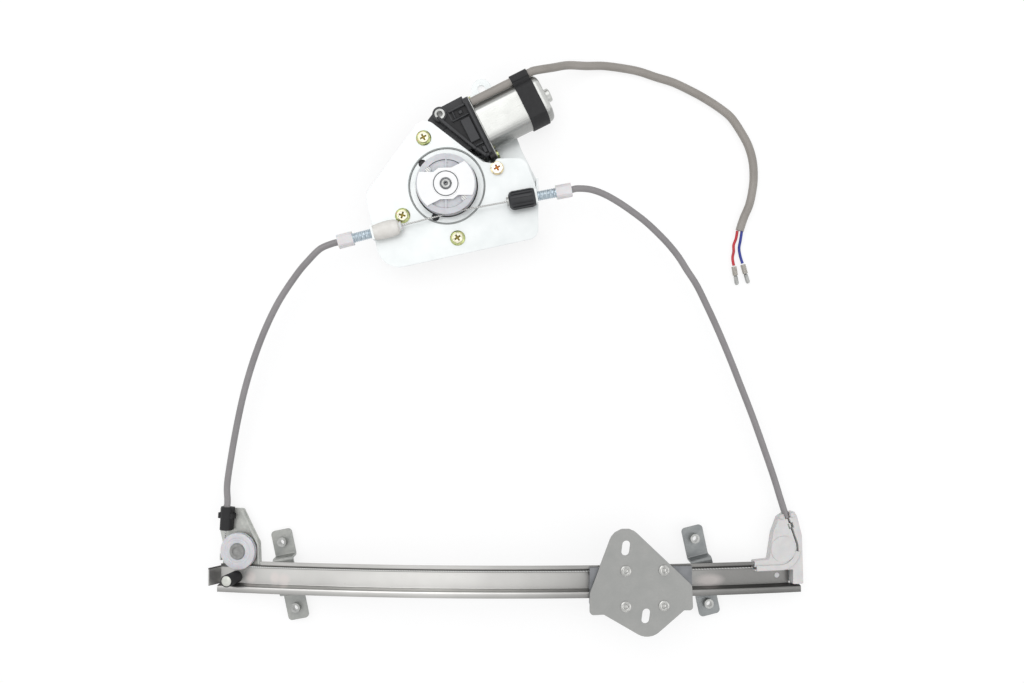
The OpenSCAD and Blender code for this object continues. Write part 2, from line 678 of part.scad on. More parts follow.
module pulley_rivet() {
    half = pulley_t / 2;
    shoulder_r = pulley_pin_r + 2;
    tail_t = 0.8;
    head_t = 1.6;
    dish_r = pulley_head_r * 0.55;
    low = fitting_bed - pulley_bracket_t;
    color("#8b8d8c") on_rail(-pulley_at) translate([0, pulley_y, 0]) difference() {
        union() {
            translate([0, 0, low - tail_t]) cylinder(r = shoulder_r, h = tail_t);
            translate([0, 0, low]) cylinder(r = pulley_pin_r, h = -low - cable_depth + half + fit);
            translate([0, 0, fitting_bed])
                cylinder(r = shoulder_r, h = -fitting_bed - cable_depth - half - fit);
            translate([0, 0, -cable_depth + half + fit])
                cylinder(r1 = pulley_head_r, r2 = pulley_head_r - head_t / 2, h = head_t);
        }
        translate([0, 0, -cable_depth + half + fit + head_t / 2]) cylinder(r = dish_r, h = head_t);
    }
}
module bumper_rubber() {
    color("#242426") on_rail(-bumper_at) translate([0, bumper_y, web_top]) difference() {
        cylinder(r1 = bumper_r, r2 = bumper_r - 0.3, h = bumper_h);
        translate([0, 0, -eps]) cylinder(r = stud_r, h = bumper_h + 2 * eps);
    }
}
module bumper_stud() {
    color("#c9cbc4") on_rail(-bumper_at) translate([0, bumper_y, web_under]) {
        cylinder(r = stud_r, h = bumper_h + rail_t);
        translate([0, 0, bumper_h + rail_t]) cylinder(r = bumper_r, h = stud_head_t);
        translate([0, 0, -seat]) cylinder(r = stud_r * 1.6, h = seat);
    }
}

// End guide at the right end of the rail
guide_shares = [
    [-0.53, 0.105, 0.01], [-0.53, 0.26, 0.02], [-0.23, 0.275, 0.04], [-0.15, 0.68, 0.1],
    [-0.03, 0.92, 0.05], [0.08, 0.97, 0.03], [0.28, 1, 0.03], [0.34, 0.92, 0.06],
    [0.44, 0.62, 0.1], [guide_right_share, -0.12, 0.03], [0.258, -0.12, 0.02], [0.258, 0.105, 0.02]];
guide_foot_t = 1.6;
guide_disc_share = 0.25;
guide_disc_t = 0.8;
module cable_slot(len, half) {
    translate([-half, 0, -0.1 * half]) cube([2 * half, len, guide_t]);
}
module end_guide() {
    w = guide_w;
    h = guide_h;
    bed = web_top + seat;
    foot = web_under - seat - guide_foot_t;
    right_of_web = w * 0.27;
    above_web = web_up + 2 * seat;
    groove = cable_r + cable_gap;
    color("#eeedea") on_rail(guide_at) difference() {
        union() {
            translate([0, 0, bed]) linear_extrude(guide_t) polygon(round_outline(scaled(guide_shares, w, h)));
            translate([w * 0.05, guide_y, bed + guide_t])
                cylinder(r = w * guide_disc_share, h = guide_disc_t);
            translate([0, 0, foot]) linear_extrude(guide_foot_t)
                polygon([[-w * 0.2, -h * 0.1], [w * 0.46, -h * 0.1], [w * 0.46, h * 0.27],
                         [-w * 0.2, h * 0.27]]);
            translate([-w * 0.2, above_web, foot])
                cube([w * 0.66, h * 0.27 - above_web, bed - foot]);
            translate([right_of_web, -h * 0.1, foot]) cube([w * 0.19, h * 0.37, bed - foot]);
            translate([0, 0, foot]) cylinder(r = guide_peg_r - fit, h = bed - foot - seat);
        }
        translate([-w, cable_y - groove, -cable_depth - groove]) cube([w, 2 * groove, guide_t]);
        translate([0, guide_y, -cable_depth - groove])
            rotate_extrude(angle = 90 + right_exit_deg, start = 270)
                translate([guide_r - groove, 0]) square([2 * groove, guide_t]);
        translate([guide_r * cos(right_exit_deg), guide_y + guide_r * sin(right_exit_deg),
                   -cable_depth]) rotate([0, 0, right_exit_deg]) {
            translate([0, 0, -groove]) cable_slot(right_run + conduit_d, groove);
            translate([0, right_run, 0]) rotate([-90, 0, 0]) cylinder(r = conduit_r, h = h);
            translate([0, right_run, 0]) cable_slot(h, conduit_r);
            translate([0, ferrule_at - seat, 0]) rotate([-90, 0, 0])
                cylinder(r = ferrule_r, h = ferrule_len + 2 * seat);
            translate([0, ferrule_at - seat, 0]) cable_slot(ferrule_len + 2 * seat, ferrule_r);
        }
    }
}
module on_right_run() {
    on_rail(guide_at)
        translate([guide_r * cos(right_exit_deg), guide_y + guide_r * sin(right_exit_deg), -cable_depth])
            rotate([0, 0, right_exit_deg]) rotate([-90, 0, 0]) children();
}
module cable_ferrule() {
    color("#9a9c9b") on_right_run() difference() {
        translate([0, 0, ferrule_at]) cylinder(r = ferrule_r, h = ferrule_len);
        translate([0, 0, ferrule_at - eps]) cylinder(r = cable_r, h = ferrule_len + 2 * eps);
    }
}
rail_cable_steps = 24;
module rail_cable() {
    path = concat(
        [left_end(left_run)],
        [for (k = [0:6]) let (a = 180 - left_exit_deg + (90 + left_exit_deg) * k / 6)
            rail_at(-pulley_at, pulley_cable_r * cos(a), pulley_y + pulley_cable_r * sin(a), -cable_depth)],
        [for (k = [1:rail_cable_steps - 1])
            rail_at(-pulley_at + (pulley_at + guide_at) * k / rail_cable_steps, 0, cable_y, -cable_depth)],
        [for (k = [0:8]) let (a = 270 + (90 + right_exit_deg) * k / 8)
            rail_at(guide_at, guide_r * cos(a), guide_y + guide_r * sin(a), -cable_depth)],
        [right_end(right_run)]);
    color("#7c7e7d") tube(path, cable_r, 8);
}

// Lift plate and the slider that carries it along the rail
carrier_shares = [
    [-0.22, 0.608, 0.16], [0.49, -0.038, 0.075], [0.5, -0.267, 0.032], [0.413, -0.265, 0.01],
    [0.073, -0.538, 0.18], [-0.366, -0.289, 0.021], [-0.5, -0.293, 0.037], [-0.5, -0.093, 0.108]];
slot_shares = [[-0.153, 0.314, -8], [0.041, -0.311, -8]];
rivet_x_share = 0.032;
rivet_y_share = -0.058;
lift_rivet_r = 2.6;
lift_head_r = 5;
lift_head_t = 1.4;
slider_half = 46;
module on_lift_rivets() {
    for (x = [-1, 1]) for (y = [-1, 1])
        translate([carrier_w * rivet_x_share + x * carrier_rivet_dx / 2,
                   carrier_h * rivet_y_share + y * carrier_rivet_dy / 2, 0]) children();
}
module lift_plate() {
    color("#a9aaa8") on_rail(carrier_at) translate([0, 0, carrier_lift]) difference() {
        linear_extrude(carrier_t) polygon(round_outline(scaled(carrier_shares, carrier_w, carrier_h)));
        for (s = slot_shares) translate([carrier_w * s[0], carrier_h * s[1], -eps])
            rotate([0, 0, s[2]]) {
                for (end = [-1, 1]) translate([0, end * (slot_len - slot_w) / 2, 0])
                    cylinder(r = slot_w / 2, h = carrier_t + 2 * eps);
                translate([-slot_w / 2, -(slot_len - slot_w) / 2, 0])
                    cube([slot_w, slot_len - slot_w, carrier_t + 2 * eps]);
            }
        translate([0, 0, -eps]) on_lift_rivets() cylinder(r = lift_rivet_r, h = carrier_t + 2 * eps);
    }
}
// Ring of rail radius, for pieces that follow the bow of the rail
module bowed(y_from, y_to, z_from, z_to, half) {
    intersection() {
        rail_sweep(carrier_at - half, carrier_at + half)
            translate([z_from, y_from]) square([z_to - z_from, y_to - y_from]);
        on_rail(carrier_at) translate([-carrier_w, -rail_w - half, -rail_w])
            cube([2 * carrier_w, 2 * rail_w + 2 * half, rail_w + carrier_lift]);
    }
}
module rail_slider() {
    wing_up = half_w - cable_d;
    hook_out = -half_w - slack;
    hook_t = 4.6;
    hook_up = 3;
    tongue_up = cable_y - 2 * cable_d - slack;
    tongue_down = -web_down + 2 * slack;
    color("#303033") {
        bowed(hook_out - hook_t, wing_up, slack, carrier_lift, slider_half);
        bowed(tongue_down, tongue_up, web_top + slack, slack, slider_half);
        bowed(hook_out - hook_t, hook_out, -hook_up, slack, slider_half);
        bowed(hook_out - hook_t, -wall_down - rail_t - slack, -hook_up, -rail_t - slack, slider_half);
    }
}
module lift_rivets() {
    color("#9c9e9d") on_rail(carrier_at) on_lift_rivets() difference() {
        union() {
            translate([0, 0, carrier_lift]) cylinder(r = lift_rivet_r, h = carrier_t);
            translate([0, 0, carrier_lift + carrier_t])
                cylinder(r1 = lift_head_r, r2 = lift_head_r - lift_head_t / 2, h = lift_head_t);
        }
        translate([0, 0, carrier_lift + carrier_t + lift_head_t / 2])
            cylinder(r = lift_rivet_r * 0.8, h = lift_head_t);
    }
}
stop_at = 31;          // cable stops, from the middle of the slider
stop_len = 7;
stop_r = 2;
stop_half = 1.3;        // flats that clear the channel's wall
module cable_stops() {
    color("#8d8f90") for (side = [-1, 1])
        rail_sweep(carrier_at + side * stop_at - stop_len / 2, carrier_at + side * stop_at + stop_len / 2)
            translate([-cable_depth, cable_y]) difference() {
                intersection() {
                    circle(r = stop_r);
                    square([4 * stop_r, 2 * stop_half], center = true);
                }
                circle(r = cable_bore_r);
            }
}

// Plates
plate_shares = [
    [-0.141, 0.481, 0.074], [0.16, 0.209, 0.02], [0.216, 0.164, 0.033], [0.278, 0.153, 0.026],
    [0.291, 0.187, 0.02], [0.458, 0.193, 0.065], [0.52, 0, 0.12], [0.536, -0.153, 0.065],
    [0.536, -0.353, 0.059], [-0.381, -0.585, 0.13], [-0.477, -0.055, 0.065]];
notch_shares = [[-0.066, -0.212], [-0.143, 0.153]];
notch_r = 3.6;
bracket_shares = [
    [0.476, 1.0976, 0], [0.762, 0.594, 0.073], [0.817, 0.452, 0.05], [0.943, 0.201, 0.05],
    [1, 0.09, 0.073], [1, -0.439, 0.098], [0.732, -0.537, 0.098], [0.146, -0.683, 0.085],
    [-0.024, -0.61, 0.06], [-0.598, -0.378, 0.085], [-0.573, -0.22, 0.085],
    [-0.378, 0.573, 0.085], [-0.244, 0.659, 0.085], [0.098, 0.732, 0.06], [0.262, 1.085, 0]];
bracket_wall_shares = [0.09, -0.439];
module on_screw(i, z) {
    on_drum(z) rotate([0, 0, screw_degs[i]]) translate([screw_circle_r, 0, 0]) children();
}
// Lug that holds a sleeve: a strip turned up from the plate's edge
module saddle(at, z) {
    rise = z + saddle_rise - plate_z;
    difference() {
        translate([at, -saddle_w / 2, plate_z - z]) cube([saddle_t, saddle_w, rise]);
        bar(at - eps, at + saddle_t + eps, sleeve_r);
    }
    for (side = [-1, 1]) translate([at, side * saddle_w / 4 - saddle_w / 4, plate_z - z])
        cube([saddle_t, saddle_w / 2, plate_t]);
}
module drum_plate() {
    color("#d9dad6") {
        difference() {
            on_drum(plate_z) linear_extrude(plate_t) difference() {
                polygon(round_outline(scaled(plate_shares, plate_w, plate_h)));
                circle(r = step_r);
                for (n = notch_shares) translate([plate_w * n[0], plate_h * n[1]]) circle(r = notch_r);
            }
            for (i = [0:3]) on_screw(i, plate_z - eps) cylinder(r = screw_r, h = plate_t + 2 * eps);
        }
        difference() {
            on_drum(ring_under) cylinder(r = step_r, h = plate_t);
            on_drum(ring_under - eps) {
                cylinder(r = opening_r, h = plate_t + 2 * eps);
                for (n = notch_shares) translate([plate_w * n[0], plate_h * n[1], 0])
                    cylinder(r = notch_r, h = plate_t + 2 * eps);
            }
        }
        on_left_cable() saddle(left_saddle_at, left_cable_z);
        on_right_cable() saddle(right_saddle_at, right_cable_z);
    }
}
module rear_bracket() {
    wall_from = bracket_wall_shares[1] * bracket_w;
    wall_to = bracket_wall_shares[0] * bracket_w;
    color("#c9cbc6") {
        difference() {
            on_drum() linear_extrude(plate_t) difference() {
                union() {
                    polygon(round_outline(scaled(bracket_shares, bracket_w, bracket_w)));
                    translate([ear_x, ear_y]) circle(r = ear_r);
                }
                translate([ear_x, ear_y]) circle(r = ear_hole_r);
                circle(r = output_r);
            }
            for (i = [0, 3]) on_screw(i, -eps) cylinder(r = screw_r, h = plate_t + 2 * eps);
        }
        on_drum() translate([bracket_w - plate_t, wall_from, 0])
            cube([plate_t, wall_to - wall_from, plate_z - seat]);
    }
}
module hex_screw_at(i, hex_r, recess) {
    on_screw(i, plate_top) difference() {
        union() {
            translate([0, 0, screw_tips[i] - plate_top]) cylinder(r = screw_r, h = plate_top - screw_tips[i]);
            cylinder(r = head_flange_r, h = head_flange_t);
            translate([0, 0, head_flange_t]) cylinder(r = hex_r, h = head_hex_t, $fn = 6);
        }
        for (arm = [0, 90]) translate([0, 0, head_flange_t + head_hex_t - recess]) rotate([0, 0, arm])
            translate([-cross_slot_l / 2, -cross_slot_w / 2, 0])
                cube([cross_slot_l, cross_slot_w, recess + eps]);
    }
}
module flange_screws() { color("#c9bd5c") for (i = [1:3]) hex_screw_at(i, head_hex_r, cross_slot_d); }
module hex_screw() { color("#c3a24a") hex_screw_at(0, head_hex_r * 1.1, cross_slot_d); }

// Gear housing
housing_base = plate_t;
chamber_floor = housing_base + housing_floor;
worm_bore_r = worm_tip_r + 0.6;
worm_body_half = worm_bore_r + 2.5 * housing_wall;
worm_body_from = -22;
worm_body_to = 45;
bush_len = 7;
front_bush_from = 17;
rear_bush_from = 112;
bush_r = 5;
brush_room_r = 19;
brush_room_half = 12;
tall_top = 36;
lobe_t = 5;
wing_shares = [[0.93, 0.46], [0.93, 1.08], [0.426, 1.066], [0.223, 0.902], [0.078, 0.426]];
tall_shares = [[0.349, 0.803], [0.969, 0.803], [0.969, -0.869], [0.824, -0.869], [0.717, -0.557]];
function on_flange(shares) = [for (p = shares) [p[0] * flange_s, p[1] * flange_half]];
module lobe_outline(corner) {
    polygon(round_outline([
        [-flange_half, -flange_half_z, corner], [flange_half, -flange_half_z, corner],
        [flange_half, flange_half_z, corner], [-flange_half, flange_half_z, corner]]));
}
module across_motor(from, len) {
    translate([from, 0, 0]) rotate([90, 0, 90]) linear_extrude(len) children();
}
motor_screw_n = 27;
motor_screw_r = 2;
motor_screw_head_r = 4;
motor_screw_head_t = 2.2;
module gear_housing() {
    body_h = housing_top - housing_base;
    arm_from = chamber_r - 0.4 * housing_wall;
    color("#26272a") difference() {
        union() {
            on_drum(housing_base) cylinder(r = chamber_r, h = body_h);
            for (i = [0:3]) {
                on_screw(i, housing_base) cylinder(r = boss_r, h = plate_z - housing_base);
                on_drum(housing_base) rotate([0, 0, screw_degs[i]])
                    translate([arm_from, -boss_arm_w / 2, 0])
                        cube([screw_circle_r - arm_from, boss_arm_w, body_h - arm_step]);
            }
            on_motor_plan(housing_base) {
                translate([worm_body_from, -worm_body_half, 0])
                    cube([worm_body_to - worm_body_from, 2 * worm_body_half, body_h]);
                linear_extrude(body_h) polygon(on_flange(wing_shares));
            }
            on_motor_plan(housing_base + seat) linear_extrude(tall_top - housing_base) polygon(on_flange(tall_shares));
            on_motor() across_motor(flange_s - lobe_t, lobe_t) lobe_outline(lobe_t);
        }
        on_drum(chamber_floor) cylinder(r = cavity_r, h = body_h);
        on_drum(cover_z) cylinder(r = cover_r, h = plate_z);
        on_drum(housing_base + housing_wall) cylinder(r = output_r + fit, h = body_h);
        on_motor() {
            bar(shaft_from - seat, 0, shaft_r + fit);
            bar(-worm_half - 1, front_bush_from, worm_bore_r);
            bar(front_bush_from - eps, front_bush_from + bush_len, bush_r);
            bar(0, commutator_from, shaft_r + slack);
            bar(commutator_from - 2, flange_s, commutator_r + 0.6);
            intersection() {
                bar(commutator_from + 1, flange_s + eps, brush_room_r);
                slab(0, flange_s + 2 * eps, 2 * brush_room_r, brush_room_half);
            }
            for (side = [-1, 1]) translate([0, side * motor_screw_n, 0])
                bar(flange_s - lobe_t - eps, flange_s + eps, motor_screw_r);
        }
        for (i = [0:3]) on_screw(i, 0) cylinder(r = screw_r, h = plate_top);
        on_motor_plan() translate([bush_hole_s, bush_hole_n, 0]) cylinder(r = bush_outer_r, h = 2 * tall_top);
    }
}
module gear_cover() {
    color("#3a3b3e") on_drum(cover_z) difference() {
        cylinder(r = cover_r - fit, h = cover_t);
        translate([0, 0, -eps]) cylinder(r = output_r + slack, h = cover_t + 2 * eps);
    }
}
module mount_bush() {
    color("#a9abab") on_motor_plan(housing_base) translate([bush_hole_s, bush_hole_n, 0]) difference() {
        cylinder(r = bush_outer_r, h = tall_top + seat);
        translate([0, 0, -eps]) cylinder(r = bush_bore_r, h = tall_top + 2 * eps);
    }
}

// Worm wheel, damper and output shaft
tooth_shares = [0.95, 0.6, 0.35];
wheel_low = motor_z - wheel_w / 2;
wheel_high = motor_z + wheel_w / 2;
cup_in_r = 8;
cup_out_r = 20;
cup_floor = 1.8;
dog_half = 2;
dog_bite = 0.8;        // bite of a dog in its walls
module dogs(from_r, to_r, half, z_from, z_to, turned) {
    for (k = [0:2]) rotate([0, 0, turned + k * turn / 3]) translate([from_r, -half, z_from])
        cube([to_r - from_r, 2 * half, z_to - z_from]);
}
module worm_wheel() {
    root = wheel_root_r - slack;
    tip_to = wheel_tip_r - root;
    color("#e3dfd2") on_drum() {
        difference() {
            translate([0, 0, wheel_low]) cylinder(r = wheel_root_r, h = wheel_w);
            translate([0, 0, wheel_low - eps]) cylinder(r = output_r + fit, h = wheel_w + 2 * eps);
            translate([0, 0, wheel_low + cup_floor]) difference() {
                cylinder(r = cup_out_r, h = wheel_w);
                cylinder(r = cup_in_r, h = wheel_w);
            }
        }
        dogs(cup_in_r - dog_bite, cup_out_r + dog_bite, dog_half, wheel_low + cup_floor - eps, wheel_high, 0);
        for (k = [0:wheel_teeth - 1])
            translate([0, 0, motor_z]) rotate([0, 0, motor_deg + 90 + (k + 0.5) * turn / wheel_teeth])
                translate([root, 0, 0]) rotate([-worm_lead_deg, 0, 0])
                    linear_extrude(wheel_w * 0.96, center = true)
                        polygon([[0, -tooth_shares[0] * gear_module],
                                 [wheel_pitch_r - root, -tooth_shares[1] * gear_module],
                                 [tip_to, -tooth_shares[2] * gear_module],
                                 [tip_to, tooth_shares[2] * gear_module],
                                 [wheel_pitch_r - root, tooth_shares[1] * gear_module],
                                 [0, tooth_shares[0] * gear_module]]);
    }
}
module wheel_damper() {
    low = wheel_low + cup_floor + seat;
    h = wheel_high - low - seat;
    color("#3f4043") on_drum() difference() {
        translate([0, 0, low]) cylinder(r = cup_out_r - slack, h = h);
        translate([0, 0, low - eps]) cylinder(r = cup_in_r + slack, h = h + 2 * eps);
        dogs(0, cup_out_r + eps, dog_half + seat, low - eps, wheel_high, 0);
        dogs(0, cup_out_r + eps, dog_half + seat, low - eps, wheel_high, turn / 6);
    }
}
module output_shaft() {
    plate_low = wheel_high + seat;
    shaft_low = housing_base + housing_wall + slack;
    shaft_high = drum_top + cap_t + output_end;
    color("#8b8680") on_drum() difference() {
        union() {
            translate([0, 0, shaft_low]) cylinder(r = output_r, h = shaft_high - shaft_low);
            translate([0, 0, plate_low]) cylinder(r = cup_out_r - slack, h = 1);
            dogs(cup_in_r + slack, cup_out_r - 2 * slack, dog_half, wheel_low + cup_floor + slack,
                 plate_low + eps, turn / 6);
        }
        translate([0, 0, shaft_high - 3 * output_end]) cylinder(r = output_centre_r, h = 4 * output_end);
    }
}

// Cable drum
slug_r = 2.2;
slug_h = 4.4;
slug_shares = [[0.64, -0.48], [-0.64, 0.48]];
module drum_section() {
    groove_half = groove_w / 2;
    inside = groove_r - drum_wall;
    z0 = groove_from - drum_z;
    polygon(concat(
        [[inside, 0], [drum_flange_r, 0]],
        [for (i = [0:groove_count - 1])
            each [[drum_flange_r, z0 + i * groove_pitch - groove_half],
                  [groove_r, z0 + i * groove_pitch - groove_half],
                  [groove_r, z0 + i * groove_pitch + groove_half],
                  [drum_flange_r, z0 + i * groove_pitch + groove_half]]],
        [[drum_flange_r, drum_h], [inside, drum_h]]));
}
rib_step = 0.6;         // drop of the ribs
module cable_drum() {
    color("#8d8f90") on_drum(drum_z) difference() {
        union() {
            rotate_extrude() drum_section();
            cylinder(r = groove_r - drum_wall + eps, h = drum_floor);
            cylinder(r = drum_hub_r, h = drum_h);
            for (k = [0:5]) rotate([0, 0, (k + 0.5) * turn / 6]) translate([0, -drum_rib_t / 2, 0])
                cube([groove_r - drum_wall + eps, drum_rib_t, drum_h - rib_step]);
            for (s = slug_shares) translate([s[0] * drum_cable_r, s[1] * drum_cable_r, 0])
                cylinder(r = slug_r + drum_rib_t / 2, h = drum_h - rib_step / 2);
        }
        translate([0, 0, -eps]) cylinder(r = output_r, h = drum_h + 2 * eps);
        for (s = slug_shares) translate([s[0] * drum_cable_r, s[1] * drum_cable_r, drum_h - slug_h])
            cylinder(r = slug_r + fit, h = drum_h);
    }
}
window_shares = [
    [-1.2, 0.4], [-0.43, 0.395], [-0.25, 0.535], [0.19, 0.547], [0.606, 0.754], [0.9, 1.25], [-1.2, 1.25]];
cap_ring_w = 0.9;
cap_ring_h = 0.5;
module drum_cap() {
    color("#f0f0ec") on_drum(drum_top) difference() {
        union() {
            linear_extrude(cap_t) difference() {
                circle(r = cap_r);
                for (half = [0, 180]) rotate([0, 0, half]) polygon([for (w = window_shares) w * cap_r]);
            }
            cylinder(r = cap_ring_r + cap_ring_w, h = cap_t + cap_ring_h);
        }
        translate([0, 0, cap_t - cap_ring_h]) difference() {
            cylinder(r = cap_ring_r, h = cap_t);
            cylinder(r = cap_ring_r - cap_ring_w, h = cap_t);
        }
        translate([0, 0, -eps]) cylinder(r = output_r + slack, h = 2 * cap_t + eps);
    }
}
module cable_turns() {
    color("#7c7e7d") on_drum() {
        for (i = [for (k = [0:groove_count - 1]) if (k != left_groove && k != right_groove) k])
            translate([0, 0, groove_from + i * groove_pitch])
                rotate_extrude() translate([drum_cable_r, 0]) circle(r = cable_r);
        for (s = slug_shares)
            translate([s[0] * drum_cable_r, s[1] * drum_cable_r, drum_top - slug_h + seat])
                cylinder(r = slug_r, h = slug_h - 2 * seat);
    }
}

// Motor
module worm_shaft() {
    coil = turn * 2 * worm_half / worm_lead;
    offset_r = (worm_tip_r - worm_root_r) / 2;
    color("#a8a9a7") on_motor() {
        bar(shaft_from, -worm_half, shaft_r);
        bar(worm_half, can_end + 1.4, shaft_r);
        rotate([0, 90, 0]) rotate([0, 0, 180 - coil / 2])
            linear_extrude(2 * worm_half, center = true, twist = -coil, $fn = worm_sides,
                           slices = round(worm_slices * coil / turn))
                translate([0, offset_r]) circle(r = (worm_tip_r + worm_root_r) / 2);
    }
}
slot_count = 8;
module armature_core() {
    color("#6f6f70") on_motor() difference() {
        bar(core_from, core_to, core_r);
        bar(core_from - eps, core_to + eps, shaft_r);
        for (k = [0:slot_count - 1]) rotate([k * turn / slot_count, 0, 0])
            translate([core_from - eps, -shaft_r / 2, shaft_r + drum_rib_t])
                cube([core_to - core_from + 2 * eps, shaft_r, core_r - shaft_r - 2 * drum_rib_t]);
    }
}
module armature_windings() {
    out_r = core_r - drum_rib_t;
    color("#8a4f2a") on_motor() for (from = [core_from - winding_len - seat, core_to + seat])
        hollow_bar(from, from + winding_len, out_r, shaft_r + seat);
}
module commutator() {
    color("#a7754a") on_motor() difference() {
        bar(commutator_from, commutator_to, commutator_r);
        bar(commutator_from - eps, commutator_to + eps, shaft_r);
        for (k = [0:slot_count - 1]) rotate([k * turn / slot_count, 0, 0])
            translate([commutator_from - eps, -seat, commutator_r - 1])
                cube([commutator_to - commutator_from + 2 * eps, 2 * seat, 2]);
    }
}
module can_profile(grow) {
    intersection() {
        circle(r = can_r + grow);
        square([4 * can_r, 2 * (can_half + grow)], center = true);
    }
}
can_nose = 3;
module motor_can() {
    color("#8f8d88") on_motor() difference() {
        union() {
            across_motor(flange_s, flange_t) lobe_outline(lobe_t);
            intersection() {
                across_motor(flange_s, can_len) can_profile(0);
                union() {
                    bar(flange_s, can_end - can_nose, can_r);
                    translate([can_end - can_nose, 0, 0]) rotate([0, 90, 0])
                        cylinder(r1 = can_r, r2 = can_r - can_nose, h = can_nose);
                }
            }
            bar(can_end - eps, can_end + rear_boss_len, rear_boss_r);
        }
        across_motor(flange_s - eps, can_len - can_wall + eps) can_profile(-can_wall);
        bar(rear_bush_from, rear_bush_from + bush_len - 1, bush_r);
        for (side = [-1, 1]) translate([0, side * motor_screw_n, 0])
            bar(flange_s - eps, flange_s + flange_t + eps, motor_screw_r);
    }
}
magnet_deg = 45;
module motor_magnets() {
    color("#4b4b4d") on_motor() for (side = [0, 180])
        translate([core_from - 2, 0, 0]) rotate([0, 90, 0]) rotate_extrude(angle = 2 * magnet_deg,
            start = 90 - magnet_deg + side) translate([magnet_in_r, 0])
                square([can_r - can_wall - slack - magnet_in_r, core_to - core_from + 4]);
}
brush_len = 8;
brush_half = 2.2;
brush_from = 41;
brush_w = 6;
module brush_holder() {
    from = brush_from + brush_w + 1;
    color("#6a5238") on_motor() difference() {
        intersection() {
            bar(from, from + 2, brush_room_r - slack);
            slab(from, from + 2, brush_room_r, brush_room_half - slack);
        }
        bar(from - eps, from + 2 + eps, commutator_r + 2);
    }
}
module brushes() {
    color("#3a3735") on_motor() for (side = [0, 180]) rotate([side, 0, 0])
        translate([brush_from, commutator_r + 0.3, -brush_half]) cube([brush_w, brush_len, 2 * brush_half]);
}
module brush_springs() {
    color("#b58a3c") on_motor() for (side = [0, 180]) rotate([side, 0, 0])
        translate([brush_from + brush_w / 2, commutator_r + 0.3 + brush_len, 0]) rotate([-90, 0, 0])
            difference() {
                cylinder(r = brush_half, h = 2.6);
                translate([0, 0, -eps]) cylinder(r = brush_half - wire_spring_t, h = 2.6 + 2 * eps);
            }
}
wire_spring_t = 0.6;
module shaft_bushes() {
    color("#9b7b45") on_motor() {
        hollow_bar(front_bush_from, front_bush_from + bush_len, bush_r, shaft_r + fit);
        hollow_bar(rear_bush_from, rear_bush_from + bush_len - 1, bush_r, shaft_r + fit);
    }
}
module motor_screws() {
    color("#c9b968") on_motor() for (side = [-1, 1]) translate([0, side * motor_screw_n, 0]) difference() {
        union() {
            bar(flange_s - lobe_t, flange_s + flange_t, motor_screw_r);
            bar(flange_s + flange_t, flange_s + flange_t + motor_screw_head_t, motor_screw_head_r);
        }
        for (arm = [0, 90]) rotate([arm, 0, 0])
            slab(flange_s + flange_t + motor_screw_head_t / 2, flange_s + 3 * motor_screw_head_t,
                 cross_slot_l / 2, cross_slot_w / 2);
    }
}
module at_lead() {
    translate([0, lead_out_r * cos(lead_deg), lead_out_r * sin(lead_deg)]) children();
}
module can_band() {
    spot = [lead_out_r * cos(lead_deg), lead_out_r * sin(lead_deg)];
    color("#2b2b2d") on_motor() across_motor(flange_s + band_from, band_w) difference() {
        union() {
            can_profile(band_t);
            translate(spot) circle(r = lead_r + band_t);
            intersection() {
                rotate(lead_deg) translate([can_r - lead_d, -lead_r - 2 * band_t])
                    square([lead_d + lead_r, lead_d + 4 * band_t]);
                square([4 * can_r, 2 * (can_half + band_t)], center = true);
            }
        }
        can_profile(0);
        translate(spot) circle(r = lead_r);
    }
}
module lead_root() {
    color("#1f1f21") on_motor() at_lead() bar(flange_s + flange_t + seat, lead_exit_s, lead_r);
}

// Cable adjusters
module turned(pts) { rotate([0, 90, 0]) rotate_extrude() polygon(pts); }
module strand(to) {
    bar(0, to, cable_r);
    translate([0, drum_cable_r, 0]) rotate_extrude(angle = wrap_deg, start = 270 - wrap_deg)
        translate([drum_cable_r, 0]) circle(r = cable_r);
}
module left_cable() { color("#7c7e7d") on_left_cable() strand(left_collar_end - socket_in); }
module right_cable() { color("#7c7e7d") on_right_cable() strand(right_collar_end - socket_in); }
module nipple(from) { hollow_bar(from, from + nut_from, nipple_r, cable_bore_r); }
module left_nipple() { color("#dfe2e0") on_left_cable() nipple(left_adjust_from); }
module right_nipple() { color("#f2f2ee") on_right_cable() nipple(right_adjust_from); }
module left_boot() {
    from = left_adjust_from + nut_from;
    bite = nut_len - sleeve_in;
    color("#e8e4d8") on_left_cable() turned([
        [cable_bore_r, from], [boot_r * 0.6, from], [boot_r * 0.82, from + nut_len * 0.05],
        [boot_r * 0.94, from + nut_len * 0.16], [boot_r, from + nut_len * 0.32],
        [boot_r, from + nut_len * 0.62], [boot_r * 0.93, from + nut_len * 0.85],
        [boot_r * 0.88, from + nut_len], [sleeve_r, from + nut_len], [sleeve_r, from + bite],
        [cable_bore_r, from + bite]]);
}
nut_rib_count = 14;
nut_groove_w = 1.6;
module right_nut() {
    from = right_adjust_from + nut_from;
    bite = nut_len - sleeve_in;
    color("#242427") on_right_cable() difference() {
        turned([
            [cable_bore_r, from], [nut_r * 0.66, from], [nut_r * 0.9, from + nut_len * 0.06],
            [nut_r, from + nut_len * 0.16], [nut_r, from + nut_len * 0.86],
            [nut_r * 0.92, from + nut_len], [sleeve_r, from + nut_len], [sleeve_r, from + bite],
            [cable_bore_r, from + bite]]);
        for (k = [0:nut_rib_count - 1]) rotate([k * turn / nut_rib_count, 0, 0])
            translate([from + nut_len * 0.1, -nut_groove_w / 2, nut_r - nut_groove_w / 2])
                cube([nut_len * 0.8, nut_groove_w, nut_groove_w]);
    }
}
module sleeve(saddle_at) {
    hollow_bar(saddle_at - sleeve_in, saddle_at + saddle_t + sleeve_len, sleeve_r, cable_bore_r);
}
